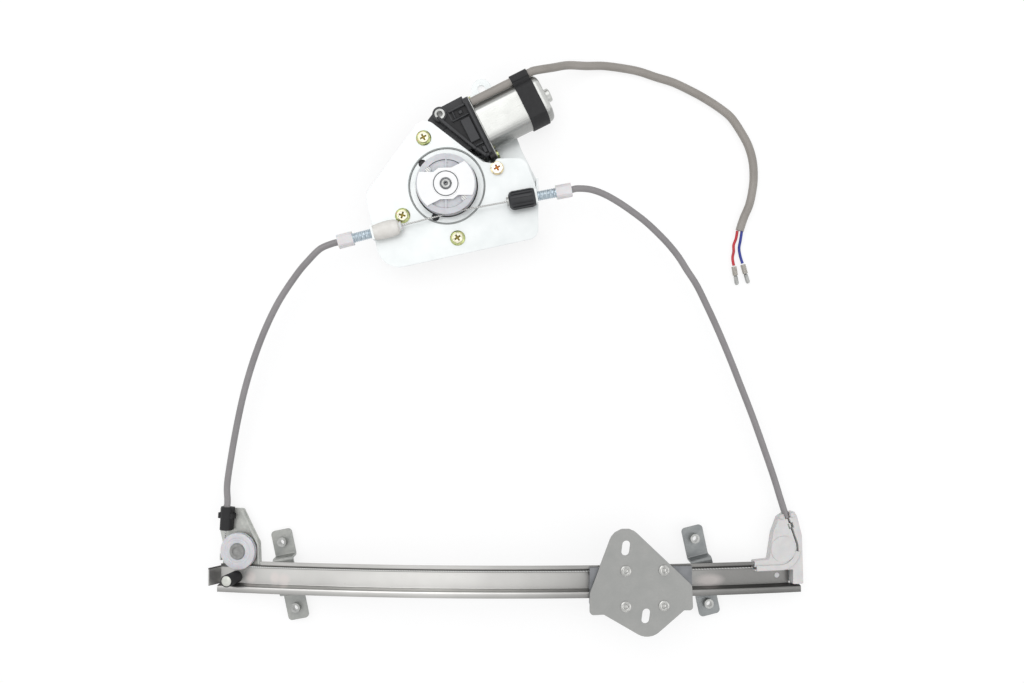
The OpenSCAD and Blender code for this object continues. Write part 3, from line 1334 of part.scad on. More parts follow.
module left_sleeve() { color("#8fa3b5") on_left_cable() sleeve(left_saddle_at); }
module right_sleeve() { color("#8fa3b5") on_right_cable() sleeve(right_saddle_at); }
module collar(to) {
    from = to - collar_len;
    difference() {
        intersection() {
            bar(from, to, collar_r);
            slab(from, to, collar_r, collar_r * 0.86);
        }
        bar(from - eps, to + eps, cable_bore_r);
        bar(from - eps, from + sleeve_in, sleeve_r);
        bar(to - socket_in, to + eps, conduit_r);
    }
}
module left_collar() { color("#e4e6e2") on_left_cable() collar(left_collar_end); }
module right_collar() { color("#e4e6e2") on_right_cable() collar(right_collar_end); }
module left_conduit() { color("#27272a") tube(smooth(left_route, 3), conduit_r, 12); }
module right_conduit() { color("#27272a") tube(smooth(right_route, 2), conduit_r, 12); }

// Motor lead
module motor_lead() { color("#1f1f21") tube(smooth(lead_route, 2), lead_r, 12); }
module red_wire() { color("#b3262b") tube(smooth(red_route, 2), wire_r, 8); }
module blue_wire() { color("#2457a5") tube(smooth(blue_route, 2), wire_r, 8); }
module wire_terminals() {
    color("#c8cac6") for (route = [red_terminal, blue_terminal])
        tube([route[0] + 0.04 * (route[1] - route[0]), route[1], route[2]], bullet_r, 10);
}
module terminal_sleeves() {
    color("#cfd6d6") for (route = [red_terminal, blue_terminal]) difference() {
        tube([route[0] + 0.1 * (route[1] - route[0]), route[1]], bullet_r + terminal_wall, 10);
        tube(route, bullet_r + 0.1, 10);
    }
}

rear_bracket();
drum_plate();
gear_housing();
gear_cover();
mount_bush();
flange_screws();
hex_screw();
worm_wheel();
wheel_damper();
output_shaft();
cable_drum();
drum_cap();
cable_turns();
worm_shaft();
armature_core();
armature_windings();
commutator();
motor_can();
motor_magnets();
brush_holder();
brushes();
brush_springs();
shaft_bushes();
motor_screws();
can_band();
lead_root();
left_cable();
right_cable();
left_nipple();
right_nipple();
left_boot();
right_nut();
left_sleeve();
right_sleeve();
left_collar();
right_collar();
left_conduit();
right_conduit();
guide_rail();
left_cross_bracket();
right_cross_bracket();
weld_nuts();
pulley_bracket();
conduit_fitting();
pulley();
pulley_rivet();
bumper_rubber();
bumper_stud();
end_guide();
cable_ferrule();
rail_cable();
lift_plate();
rail_slider();
lift_rivets();
cable_stops();
motor_lead();
red_wire();
blue_wire();
wire_terminals();
terminal_sleeves();
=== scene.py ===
"""Looks of a cable window regulator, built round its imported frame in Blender 4.5."""
import logging
import math
from dataclasses import dataclass, field
from enum import Enum
from typing import Any, Mapping, Sequence

import bmesh
import bpy
from mathutils import Matrix, Vector


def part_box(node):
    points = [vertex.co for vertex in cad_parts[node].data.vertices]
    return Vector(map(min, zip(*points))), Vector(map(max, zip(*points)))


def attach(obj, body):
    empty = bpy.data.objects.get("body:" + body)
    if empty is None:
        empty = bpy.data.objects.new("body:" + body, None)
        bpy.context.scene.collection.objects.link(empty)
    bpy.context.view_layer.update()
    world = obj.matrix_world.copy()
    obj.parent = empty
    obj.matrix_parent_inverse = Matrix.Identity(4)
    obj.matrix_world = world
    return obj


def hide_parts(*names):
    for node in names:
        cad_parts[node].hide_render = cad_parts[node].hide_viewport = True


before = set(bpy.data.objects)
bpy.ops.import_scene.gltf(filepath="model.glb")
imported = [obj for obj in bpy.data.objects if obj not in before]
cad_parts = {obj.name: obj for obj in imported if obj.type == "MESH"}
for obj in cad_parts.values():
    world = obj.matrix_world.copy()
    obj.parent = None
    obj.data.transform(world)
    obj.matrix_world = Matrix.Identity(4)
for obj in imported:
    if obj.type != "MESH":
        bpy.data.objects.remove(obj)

LOG = logging.getLogger("window_regulator")
MM = 0.001
TURN = 2 * math.pi
Point = tuple[float, float, float]


class Body(Enum):
    """The bodies of the frame that pieces ride on."""

    FRAME = "frame"
    CARRIER = "carrier"
    DRUM = "drum"
    PULLEY = "pulley_wheel"


class Grain(Enum):
    """Which way the fine grain of a surface runs, as its size along X, Y and Z in millimetres."""

    EVEN = (0.5, 0.5, 0.5)
    ALONG_X = (26.0, 0.35, 0.35)
    ALONG_Y = (0.35, 26.0, 0.35)
    COARSE = (1.6, 1.6, 1.6)
    FINE = (0.25, 0.25, 0.25)


def linear(hex_tone: str) -> tuple[float, float, float, float]:
    """Turns an sRGB hex colour into Blender's linear one.

    Args:
        hex_tone: The colour, such as "#d8d8d4".

    Returns:
        Red, green, blue and alpha.
    """
    shares = [int(hex_tone[i:i + 2], 16) / 255 for i in (1, 3, 5)]
    red, green, blue = [s / 12.92 if s <= 0.04045 else ((s + 0.055) / 1.055) ** 2.4 for s in shares]
    return (red, green, blue, 1.0)


def add_node(tree: bpy.types.NodeTree, kind: str, settings: Mapping[str, Any] | None = None,
             inputs: Mapping[Any, Any] | None = None) -> bpy.types.Node:
    """Adds one node to a shader, world or geometry tree.

    Args:
        tree: The tree that gets the node.
        kind: The node's type name.
        settings: Its properties by name.
        inputs: Its inputs by name or number, each a value or a socket to link from.

    Returns:
        The new node.
    """
    node = tree.nodes.new(kind)
    for name, value in (settings or {}).items():
        setattr(node, name, value)
    for key, value in (inputs or {}).items():
        if isinstance(value, bpy.types.NodeSocket):
            tree.links.new(value, node.inputs[key])
        else:
            node.inputs[key].default_value = value
    return node


@dataclass(frozen=True)
class Finish:
    """One finish: two tones in soft patches, a grain in the gloss and the relief, and rounded edges."""

    name: str
    tone: str
    shade: str
    metallic: float = 0.0
    roughness: float = 0.5
    swing: float = 0.1
    patch_mm: float = 14.0
    grain: Grain = Grain.EVEN
    relief_mm: float = 0.02
    edge_mm: float = 0.3
    turn_deg: float = 0.0
    transmission: float = 0.0
    subsurface: float = 0.0
    coat: float = 0.0

    def tones(self, tree: bpy.types.NodeTree, place: bpy.types.NodeSocket) -> bpy.types.NodeSocket:
        """Mixes the two tones in soft patches.

        Args:
            tree: The material's tree.
            place: The object coordinates.

        Returns:
            The colour socket.
        """
        patches = add_node(tree, "ShaderNodeTexNoise", inputs={
            "Vector": place, "Scale": 1 / (self.patch_mm * MM), "Detail": 3.0, "Roughness": 0.55})
        spread = add_node(tree, "ShaderNodeMapRange", inputs={
            "Value": patches.outputs["Fac"], "From Min": 0.32, "From Max": 0.68})
        mixed = add_node(tree, "ShaderNodeMix", {"data_type": "RGBA"}, {
            0: spread.outputs["Result"], 6: linear(self.tone), 7: linear(self.shade)})
        return mixed.outputs[2]

    def material(self) -> bpy.types.Material:
        """Builds the material, once for each finish.

        Returns:
            The material.
        """
        ready = bpy.data.materials.get(self.name)
        if ready is not None:
            return ready
        material = bpy.data.materials.new(self.name)
        material.use_nodes = True
        tree = material.node_tree
        shader = next(n for n in tree.nodes if n.type == "BSDF_PRINCIPLED")
        place = add_node(tree, "ShaderNodeTexCoord").outputs["Object"]
        turned = add_node(tree, "ShaderNodeMapping", inputs={
            "Vector": place, "Rotation": (0.0, 0.0, -math.radians(self.turn_deg))})
        sized = add_node(tree, "ShaderNodeMapping", inputs={
            "Vector": turned.outputs[0], "Scale": tuple(1 / (g * MM) for g in self.grain.value)})
        grain = add_node(tree, "ShaderNodeTexNoise", inputs={
            "Vector": sized.outputs[0], "Scale": 1.0, "Detail": 2.0, "Roughness": 0.6})
        gloss = add_node(tree, "ShaderNodeMapRange", inputs={
            "Value": grain.outputs["Fac"], "From Min": 0.25, "From Max": 0.75,
            "To Min": max(self.roughness - self.swing, 0.03), "To Max": self.roughness + self.swing})
        rounded = add_node(tree, "ShaderNodeBevel", {"samples": 4}, {"Radius": self.edge_mm * MM})
        relief = add_node(tree, "ShaderNodeBump", inputs={
            "Height": grain.outputs["Fac"], "Distance": self.relief_mm * MM,
            "Normal": rounded.outputs[0]})
        tree.links.new(self.tones(tree, place), shader.inputs["Base Color"])
        tree.links.new(gloss.outputs["Result"], shader.inputs["Roughness"])
        tree.links.new(relief.outputs["Normal"], shader.inputs["Normal"])
        shader.inputs["Metallic"].default_value = self.metallic
        shader.inputs["Transmission Weight"].default_value = self.transmission
        shader.inputs["Subsurface Weight"].default_value = self.subsurface
        shader.inputs["Subsurface Scale"].default_value = 2 * MM
        shader.inputs["Coat Weight"].default_value = self.coat
        return material


@dataclass(frozen=True)
class Spangled(Finish):
    """Hot-dip galvanised steel, whose zinc crystals show as faint cells."""

    cell_mm: float = 2.2
    contrast: float = 0.5

    def tones(self, tree: bpy.types.NodeTree, place: bpy.types.NodeSocket) -> bpy.types.NodeSocket:
        """Lays crystal cells over the soft patches.

        Args:
            tree: The material's tree.
            place: The object coordinates.

        Returns:
            The colour socket.
        """
        base = Finish.tones(self, tree, place)
        cells = add_node(tree, "ShaderNodeTexVoronoi", inputs={
            "Vector": place, "Scale": 1 / (self.cell_mm * MM), "Randomness": 1.0})
        value = add_node(tree, "ShaderNodeSeparateColor", inputs={0: cells.outputs["Color"]})
        faint = add_node(tree, "ShaderNodeMath", {"operation": "MULTIPLY"}, {
            0: value.outputs[0], 1: self.contrast})
        mixed = add_node(tree, "ShaderNodeMix", {"data_type": "RGBA"}, {
            0: faint.outputs[0], 6: base, 7: linear(self.shade)})
        return mixed.outputs[2]


@dataclass(frozen=True)
class Passivated(Finish):
    """Yellow chromate over zinc: green and rose on a screw's flange, with a painted highlight on the head's top and
    painted shade on its flanks and in its recess.
    """

    green: str = "#80974a"
    rose: str = "#d3a692"
    # Painted highlight on the head's top.
    crown_highlight: str = "#e6e2cc"
    # Painted shade at the depth of the cross recess, also on the middle of the hex flanks.
    recess: str = "#7d6f35"
    flange_top_mm: float = 31.65
    head_top_mm: float = 34.8

    def tones(self, tree: bpy.types.NodeTree, place: bpy.types.NodeSocket) -> bpy.types.NodeSocket:
        """Runs the film's colours through a ramp, and paints a highlight on the head's top and shade lower down by
        height.

        Args:
            tree: The material's tree.
            place: The object coordinates.

        Returns:
            The colour socket.
        """
        drift = add_node(tree, "ShaderNodeTexNoise", inputs={
            "Vector": place, "Scale": 1 / (self.patch_mm * MM), "Detail": 1.0})
        ramp = add_node(tree, "ShaderNodeValToRGB", inputs={0: drift.outputs["Fac"]})
        stops = ramp.color_ramp.elements
        stops[0].position, stops[0].color = 0.3, linear(self.green)
        stops[1].position, stops[1].color = 0.7, linear(self.rose)
        for share, tone in ((0.42, self.tone), (0.56, self.shade)):
            stops.new(share).color = linear(tone)
        height = add_node(tree, "ShaderNodeSeparateXYZ", inputs={0: place}).outputs["Z"]
        rise = add_node(tree, "ShaderNodeMapRange", inputs={
            "Value": height, "From Min": self.flange_top_mm * MM, "From Max": self.head_top_mm * MM})
        # Painted highlight and shade up the head, by height.
        head = add_node(tree, "ShaderNodeValToRGB", inputs={0: rise.outputs["Result"]})
        marks = head.color_ramp.elements
        marks[0].position, marks[0].color = 0.05, linear(self.tone)
        marks[1].position, marks[1].color = 0.85, linear(self.crown_highlight)
        for share, tone in ((0.2, self.shade), (0.35, self.recess), (0.55, self.recess), (0.7, self.tone)):
            marks.new(share).color = linear(tone)
        above = add_node(tree, "ShaderNodeMath", {"operation": "GREATER_THAN"}, {
            0: height, 1: self.flange_top_mm * MM})
        return add_node(tree, "ShaderNodeMix", {"data_type": "RGBA"}, {
            0: above.outputs[0], 6: ramp.outputs[0], 7: head.outputs[0]}).outputs[2]


@dataclass(frozen=True)
class RolledStrip(Finish):
    """Rolled strip with painted light, brightest left of its middle and darker towards both ends, most of all to
    the right, with painted shade under its lips and in its bends, and a rosy bloom where a bracket is welded on.
    """

    middle_y_mm: float = -204.62
    reach_mm: float = 290.0
    half_mm: float = 14.5
    # Painted light along the strip: shares that darken it towards both ends, most of all towards the right.
    along: tuple[tuple[float, float], ...] = (
        (-240, 0.7), (-195, 0.84), (-140, 0.96), (-50, 1.0), (10, 0.9), (60, 0.62), (174, 0.42),
        (196, 0.31), (255, 0.26))
    # Painted light and shade across the channel: dark under the upper lip, along the lower wall and at the outer
    # edges, with a painted highlight on the lower flange's inner edge.
    across: tuple[tuple[float, float], ...] = (
        (-14.4, 0.55), (-11.5, 0.8), (-9.6, 1.15), (-9.1, 0.5), (-7.5, 0.62), (-7.2, 0.95), (0.0, 1.0),
        (6.6, 1.05), (7.1, 0.24), (9.9, 0.22), (10.4, 0.95), (14.3, 0.75))
    blooms: tuple[tuple[float, float, float, str], ...] = (
        (-233.3, -206.1, 5.2, "#d7d1ce"), (-210.5, -206.1, 4.8, "#d9d3d0"), (-201.8, -207.3, 5.8, "#d9d3d0"),
        (183.6, -207.1, 13.6, "#a9a4a2"))

    def shares(self, tree: bpy.types.NodeTree, value: bpy.types.NodeSocket, reach: float,
               stops: Sequence[tuple[float, float]]) -> bpy.types.NodeSocket:
        """Reads a share of the painted light and shade from a place across or along the strip.

        Args:
            tree: The material's tree.
            value: The place, in metres.
            reach: How far the stops reach to both sides, in millimetres.
            stops: Pairs of place and share.

        Returns:
            The grey of painted light and shade that the colour is multiplied by.
        """
        spot = add_node(tree, "ShaderNodeMapRange", inputs={
            "Value": value, "From Min": -reach * MM, "From Max": reach * MM})
        ramp = add_node(tree, "ShaderNodeValToRGB", inputs={0: spot.outputs["Result"]})
        marks = ramp.color_ramp.elements
        for i, (at, share) in enumerate(stops):
            place = 0.5 + at / (2 * reach)
            mark = marks[i] if i < 1 else marks.new(place)
            mark.position, mark.color = place, (share, share, share, 1.0)
        marks.remove(marks[-1])
        return ramp.outputs[0]

    def tones(self, tree: bpy.types.NodeTree, place: bpy.types.NodeSocket) -> bpy.types.NodeSocket:
        """Paints light along the strip and light and shade across it, then adds a soft bloom at each weld.

        Args:
            tree: The material's tree.
            place: The object coordinates.

        Returns:
            The colour socket.
        """
        colour = Finish.tones(self, tree, place)
        parts = add_node(tree, "ShaderNodeSeparateXYZ", inputs={0: place})
        off = add_node(tree, "ShaderNodeMath", {"operation": "SUBTRACT"}, {
            0: parts.outputs["Y"], 1: self.middle_y_mm * MM})
        # Multiplies in the painted light along the strip and the painted light and shade across it.
        for value, reach, stops in ((parts.outputs["X"], self.reach_mm, self.along),
                                    (off.outputs[0], self.half_mm, self.across)):
            colour = add_node(tree, "ShaderNodeMix", {"data_type": "RGBA", "blend_type": "MULTIPLY"}, {
                0: 1.0, 6: colour, 7: self.shares(tree, value, reach, stops)}).outputs[2]
        for x, y, half, bloom in self.blooms:
            near = add_node(tree, "ShaderNodeMapping", {"vector_type": "TEXTURE"}, {
                "Vector": place, "Location": (x * MM, y * MM, 0.0),
                "Scale": (half * MM, 6 * MM, 1.0)})
            apart = add_node(tree, "ShaderNodeVectorMath", {"operation": "LENGTH"}, {0: near.outputs[0]})
            faded = add_node(tree, "ShaderNodeMapRange", inputs={
                "Value": apart.outputs["Value"], "From Min": 1.15, "From Max": 0.5})
            colour = add_node(tree, "ShaderNodeMix", {"data_type": "RGBA"}, {
                0: faded.outputs["Result"], 6: colour, 7: linear(bloom)}).outputs[2]
        return colour


@dataclass(frozen=True)
class DrawnCan(Finish):
    """Drawn steel whose curved flanks carry a painted reflection of dark surroundings, darker than its flats."""

    # Colour of the painted reflection of dark surroundings on the flanks.
    painted_flank_reflection: str = "#a3a4a2"
    worm: tuple[float, float] = (-68.29, 178.10)
    flat_half_mm: float = 12.9

    def tones(self, tree: bpy.types.NodeTree, place: bpy.types.NodeSocket) -> bpy.types.NodeSocket:
        """Paints the reflection of dark surroundings on the flanks, by their distance from the can's axis plane.

        Args:
            tree: The material's tree.
            place: The object coordinates.

        Returns:
            The colour socket.
        """
        base = Finish.tones(self, tree, place)
        turned = add_node(tree, "ShaderNodeMapping", {"vector_type": "TEXTURE"}, {
            "Vector": place, "Location": (self.worm[0] * MM, self.worm[1] * MM, 0.0),
            "Rotation": (0.0, 0.0, math.radians(self.turn_deg))})
        across = add_node(tree, "ShaderNodeSeparateXYZ", inputs={0: turned.outputs[0]}).outputs["Y"]
        side = add_node(tree, "ShaderNodeMath", {"operation": "ABSOLUTE"}, {0: across})
        # Mask of the painted reflection: nothing on the flats, full on the curved flanks.
        painted_flank_reflection = add_node(tree, "ShaderNodeMapRange", inputs={
            "Value": side.outputs[0], "From Min": self.flat_half_mm * MM,
            "From Max": (self.flat_half_mm + 1.2) * MM})
        return add_node(tree, "ShaderNodeMix", {"data_type": "RGBA"}, {
            0: painted_flank_reflection.outputs["Result"], 6: base, 7: linear(self.painted_flank_reflection)}).outputs[2]


@dataclass(frozen=True)
class Stranded(Finish):
    """Bright steel cable, whose strands run round it at a slant."""

    strand_mm: float = 1.1

    def tones(self, tree: bpy.types.NodeTree, place: bpy.types.NodeSocket) -> bpy.types.NodeSocket:
        """Draws the strands as slanted bands, coarser than the real ones so that they show.

        Args:
            tree: The material's tree.
            place: The object coordinates.

        Returns:
            The colour socket.
        """
        bands = add_node(tree, "ShaderNodeTexWave", {"bands_direction": "DIAGONAL"}, {
            "Vector": place, "Scale": 0.3 / (self.strand_mm * MM), "Distortion": 0.0})
        mixed = add_node(tree, "ShaderNodeMix", {"data_type": "RGBA"}, {
            0: bands.outputs["Fac"], 6: linear(self.shade), 7: linear(self.tone)})
        return mixed.outputs[2]


# Electroplated zinc on pressed sheet: pale, nearly white where it faces the light, with a rolled grain
ZINC_PLATE = Finish("zinc_plated_sheet", "#e3e6e6", "#d9dddd", 0.75, 0.42, 0.08, 26.0, Grain.FINE, 0.012)
# Hot-dip galvanised sheet, grey and matt, with small crystals
GALVANISED = Spangled("galvanised_sheet", "#a5a5a3", "#9d9e9c", 0.8, 0.46, 0.08, 14.0, Grain.EVEN, 0.012,
                      cell_mm=1.2, contrast=0.6)
# The same zinc on the cross brackets and the pulley bracket, a little brighter
BRACKET_ZINC = Spangled("galvanised_bracket", "#b0b1ad", "#999b99", 0.8, 0.42, 0.1, 11.0, Grain.COARSE, 0.015,
                        cell_mm=1.8, contrast=0.4)
# The bracket that is welded behind the rail's right half: the same zinc, darker and bluer as painted shade where
# the light falls off towards the right
SHADED_BRACKET_ZINC = Spangled("galvanised_dull_bracket", "#989b9b", "#858889", 0.8, 0.42, 0.1, 11.0, Grain.COARSE, 0.015,
                     cell_mm=1.8, contrast=0.4)
# The pulley bracket, the brightest pressing, clouded where it was drawn
CLOUDED_ZINC = Spangled("galvanised_pulley_bracket", "#d0d1cc", "#b4b6b2", 0.8, 0.42, 0.1, 9.0, Grain.COARSE, 0.015,
                        cell_mm=2.0, contrast=0.6)
# Head of the pulley's rivet, mottled by the press
PRESSED_ZINC = Spangled("pressed_rivet_zinc", "#a3a3a2", "#8a8a89", 0.7, 0.46, 0.1, 5.0, Grain.COARSE, 0.02,
                        cell_mm=1.4, contrast=0.8)
# Roll-formed galvanised strip: fine lines along the rail, with painted light along it and painted shade across its
# channel
RAIL_ZINC_PAINTED_LIGHT = RolledStrip("roll_formed_rail", "#e5e4e1", "#d6d5d2", 0.85, 0.36, 0.1, 60.0, Grain.ALONG_X, 0.015)
# Deep-drawn motor can, plated bright, with lines from the drawing along its axis and a painted reflection of dark
# surroundings on its curved flanks
DRAWN_STEEL = DrawnCan("drawn_steel_can", "#cfd0cd", "#c3c4c1", 0.9, 0.3, 0.07, 22.0, Grain.ALONG_X, 0.008,
                       turn_deg=26.7)
# Turned steel of shafts, rivets and ferrules
TURNED_STEEL = Finish("turned_steel", "#b9bab8", "#9c9d9b", 0.95, 0.3, 0.1, 4.0, Grain.FINE, 0.01, 0.15)
# Rivet heads, polished by the peening tool and dark in their rolled rim
RIVET_STEEL = Finish("peened_rivet_steel", "#c6c6c3", "#a3a3a1", 0.95, 0.24, 0.08, 3.0, Grain.FINE, 0.01, 0.15)
# Yellow chromate on the flange screws: straw with green and rose interference colours, a painted highlight on top
# and painted shade on the flanks and in the recess
CHROMATE = Passivated("yellow_chromate", "#c9cf94", "#a9b878", 0.85, 0.26, 0.08, 2.6, Grain.FINE, 0.01, 0.25)
# A redder chromate on the hex screw, with its own painted highlight and painted shade
GOLD_CHROMATE = Passivated("gold_chromate", "#eadcb0", "#d9bd84", 0.85, 0.26, 0.08, 3.0, Grain.FINE, 0.01, 0.25,
                           green="#e8e0bc", rose="#cf9a5e", crown_highlight="#f8f3ea", recess="#a8642a")
# Clear blue zinc on the threaded sleeves
BLUE_ZINC = Finish("blue_zinc_thread", "#c6d1d8", "#b3c0c9", 0.9, 0.28, 0.08, 3.0, Grain.FINE, 0.01, 0.1)
# Glass-filled polyamide, moulded black: a soft sheen over a faintly rough skin
BLACK_NYLON = Finish("moulded_black_polyamide", "#232427", "#2c2d30", 0.0, 0.42, 0.1, 9.0, Grain.FINE, 0.03, 0.35)
# The same polyamide, darker: painted shade on the sheets laid in the housing's deep recesses, and the black of the
# conduit fitting
POCKET_SHADE_AND_FITTING_BLACK = Finish("pocket_black_polyamide", "#111113", "#17171a", 0.0, 0.62, 0.08, 6.0, Grain.FINE, 0.02, 0.2)
# Bleached acetal of the drum's cap, the whitest piece
BRIGHT_ACETAL = Finish("bright_white_acetal", "#fcfcfc", "#f8f9f9", 0.0, 0.36, 0.06, 12.0, Grain.EVEN, 0.006, 0.3)
# Painted shade in the groove of the hub, and dark rings on the shaft's end
GROOVE_SHADE_AND_RING_STEEL = Finish("darkened_steel_ring", "#6f7173", "#5b5d5f", 0.7, 0.4, 0.08, 3.0, Grain.FINE, 0.01, 0.1)
# Zinc darkened as painted shade in the corner of the pressed step round the drum
STEP_SHADE_ZINC = Finish("pressed_step_zinc", "#9b9e9d", "#868a89", 0.6, 0.45, 0.08, 12.0, Grain.FINE, 0.01, 0.2)
# Pale zinc on the bumper's stud
STUD_ZINC = Spangled("pale_stud_zinc", "#dfe0d9", "#c8cac2", 0.6, 0.42, 0.08, 4.0, Grain.FINE, 0.02, cell_mm=1.6,
                     contrast=0.4)
# Natural acetal and polyamide: milky, a little light passes into it
WHITE_ACETAL = Finish("natural_white_acetal", "#e6e4e5", "#dbd9da", 0.0, 0.34, 0.06, 12.0, Grain.EVEN, 0.01, 0.35,
                      subsurface=0.15)
# The end guide, of the same acetal, painted greyer as shade for the light that passes through its thin walls
MILKY_ACETAL = Finish("milky_acetal", "#d9d8d7", "#cecdcc", 0.0, 0.4, 0.06, 12.0, Grain.EVEN, 0.01, 0.35,
                      subsurface=0.15)
# The pulley, of the same acetal but cooler and more see-through
COOL_ACETAL = Finish("cool_white_acetal", "#dcdcdf", "#cdcdd1", 0.0, 0.3, 0.06, 8.0, Grain.EVEN, 0.01, 0.35,
                     subsurface=0.25)
# Grey acetal of the cable drum
GREY_ACETAL = Finish("grey_acetal", "#d2d3d7", "#c3c4c9", 0.0, 0.36, 0.08, 8.0, Grain.EVEN, 0.01, 0.3,
                     subsurface=0.1)
# The slider behind the glass plate, mid grey: partly its own dark plastic, partly painted shade where its corners
# show beside the plate
SLIDER_GREY = Finish("grey_slider_acetal", "#85878a", "#787a7d", 0.0, 0.4, 0.08, 8.0, Grain.EVEN, 0.01, 0.3)
# Polymer-coated conduit: mid grey with a long highlight
CONDUIT_GREY = Finish("extruded_conduit_jacket", "#939091", "#888586", 0.0, 0.3, 0.05, 30.0, Grain.EVEN, 0.006)
# PVC sheath of the lead: warm grey, satin
LEAD_GREY = Finish("warm_grey_pvc_sheath", "#9d9892", "#928d87", 0.0, 0.42, 0.06, 24.0, Grain.EVEN, 0.006)
RED_PVC = Finish("red_pvc_wire", "#c9303a", "#b82833", 0.0, 0.36, 0.06, 8.0, Grain.FINE, 0.01, 0.1)
BLUE_PVC = Finish("blue_pvc_wire", "#2f3f9e", "#26348a", 0.0, 0.36, 0.06, 8.0, Grain.FINE, 0.01, 0.1)
# Clear PVC sleeves over the bullets
CLEAR_PVC = Finish("clear_pvc_sleeve", "#dcd8d0", "#cfcac0", 0.0, 0.2, 0.06, 3.0, Grain.EVEN, 0.03, 0.1,
                   transmission=0.45)
# Nitrile rubber: black and matt
RUBBER = Finish("nitrile_rubber", "#161618", "#1e1e20", 0.0, 0.66, 0.1, 5.0, Grain.EVEN, 0.05, 0.4)
# Warm white thermoplastic rubber of the left boot
PALE_RUBBER = Finish("pale_soft_boot", "#eceae5", "#e0ddd7", 0.0, 0.55, 0.08, 7.0, Grain.EVEN, 0.03, 0.6)
CABLE = Stranded("stranded_steel_cable", "#d6d6d4", "#8d8e8d", 0.9, 0.34, 0.06, 4.0, Grain.FINE, 0.03, 0.1)
COPPER = Finish("enamelled_copper", "#b8693c", "#9c4f2a", 0.8, 0.3, 0.08, 2.0, Grain.FINE, 0.04, 0.1)
BRONZE = Finish("sintered_bronze", "#b08a4c", "#96733b", 0.85, 0.45, 0.1, 2.0, Grain.FINE, 0.03, 0.2)
FERRITE = Finish("hard_ferrite", "#4a4a4c", "#3d3d3f", 0.0, 0.6, 0.08, 5.0, Grain.EVEN, 0.03, 0.3)
LAMINATED = Finish("stacked_laminations", "#7c7d7e", "#66676a", 0.8, 0.42, 0.1, 1.0, Grain.FINE, 0.03, 0.1)
CARBON = Finish("electrographite", "#3a3836", "#2e2c2b", 0.0, 0.55, 0.1, 3.0, Grain.FINE, 0.03, 0.2)
PAPER_PHENOLIC = Finish("paper_phenolic", "#7a5b38", "#68492b", 0.0, 0.5, 0.08, 6.0, Grain.ALONG_X, 0.02, 0.2)

NODE_FINISHES: dict[str, Finish] = {
    "rear_bracket": ZINC_PLATE, "drum_plate": ZINC_PLATE, "gear_housing": BLACK_NYLON,
    "gear_cover": BLACK_NYLON, "mount_bush": TURNED_STEEL, "flange_screws": CHROMATE,
    "hex_screw": GOLD_CHROMATE, "worm_wheel": WHITE_ACETAL, "wheel_damper": RUBBER,
    "output_shaft": TURNED_STEEL, "cable_drum": GREY_ACETAL, "drum_cap": BRIGHT_ACETAL,
    "cable_turns": CABLE, "worm_shaft": TURNED_STEEL, "armature_core": LAMINATED,
    "armature_windings": COPPER, "commutator": COPPER, "motor_can": DRAWN_STEEL,
    "motor_magnets": FERRITE, "brush_holder": PAPER_PHENOLIC, "brushes": CARBON,
    "brush_springs": BRONZE, "shaft_bushes": BRONZE, "motor_screws": CHROMATE, "can_band": RUBBER,
    "lead_root": LEAD_GREY, "left_cable": CABLE, "right_cable": CABLE, "left_nipple": WHITE_ACETAL,
    "right_nipple": TURNED_STEEL, "left_boot": PALE_RUBBER, "right_nut": BLACK_NYLON,
    "left_sleeve": BLUE_ZINC, "right_sleeve": BLUE_ZINC, "left_collar": WHITE_ACETAL,
    "right_collar": WHITE_ACETAL, "left_conduit": CONDUIT_GREY, "right_conduit": CONDUIT_GREY,
    "guide_rail": RAIL_ZINC_PAINTED_LIGHT, "left_cross_bracket": BRACKET_ZINC, "right_cross_bracket": SHADED_BRACKET_ZINC,
    "weld_nuts": TURNED_STEEL, "pulley_bracket": CLOUDED_ZINC, "conduit_fitting": POCKET_SHADE_AND_FITTING_BLACK,
    "pulley": COOL_ACETAL, "pulley_rivet": PRESSED_ZINC, "bumper_rubber": RUBBER,
    "bumper_stud": STUD_ZINC, "end_guide": MILKY_ACETAL, "cable_ferrule": TURNED_STEEL,
    "rail_cable": CABLE, "lift_plate": GALVANISED, "rail_slider": SLIDER_GREY,
    "lift_rivets": TURNED_STEEL, "cable_stops": TURNED_STEEL, "motor_lead": LEAD_GREY,
    "red_wire": RED_PVC, "blue_wire": BLUE_PVC, "wire_terminals": TURNED_STEEL,
    "terminal_sleeves": CLEAR_PVC,
}


def smooth_route(points: Sequence[Point], steps: int) -> list[Vector]:
    """Runs the frame's own smooth curve through a route's points.

    Args:
        points: The route, in millimetres.
        steps: How many pieces each leg gets.

    Returns:
        Points along the curve, in millimetres.
    """
    knots = [Vector(p) for p in points]
    line: list[Vector] = []
    for i in range(len(knots) - 1):
        before, start = knots[max(i - 1, 0)], knots[i]
        end, after = knots[i + 1], knots[min(i + 2, len(knots) - 1)]
        for k in range(steps):
            t = k / steps
            line.append(0.5 * ((2 * start) + (end - before) * t
                               + (2 * before - 5 * start + 4 * end - after) * t * t
                               + (3 * start - before - 3 * end + after) * t ** 3))
    line.append(knots[-1])
    return line


def route_length(line: Sequence[Vector]) -> float:
    """Gives the length of a line in metres, from its points in millimetres."""
    return MM * sum((b - a).length for a, b in zip(line, line[1:]))


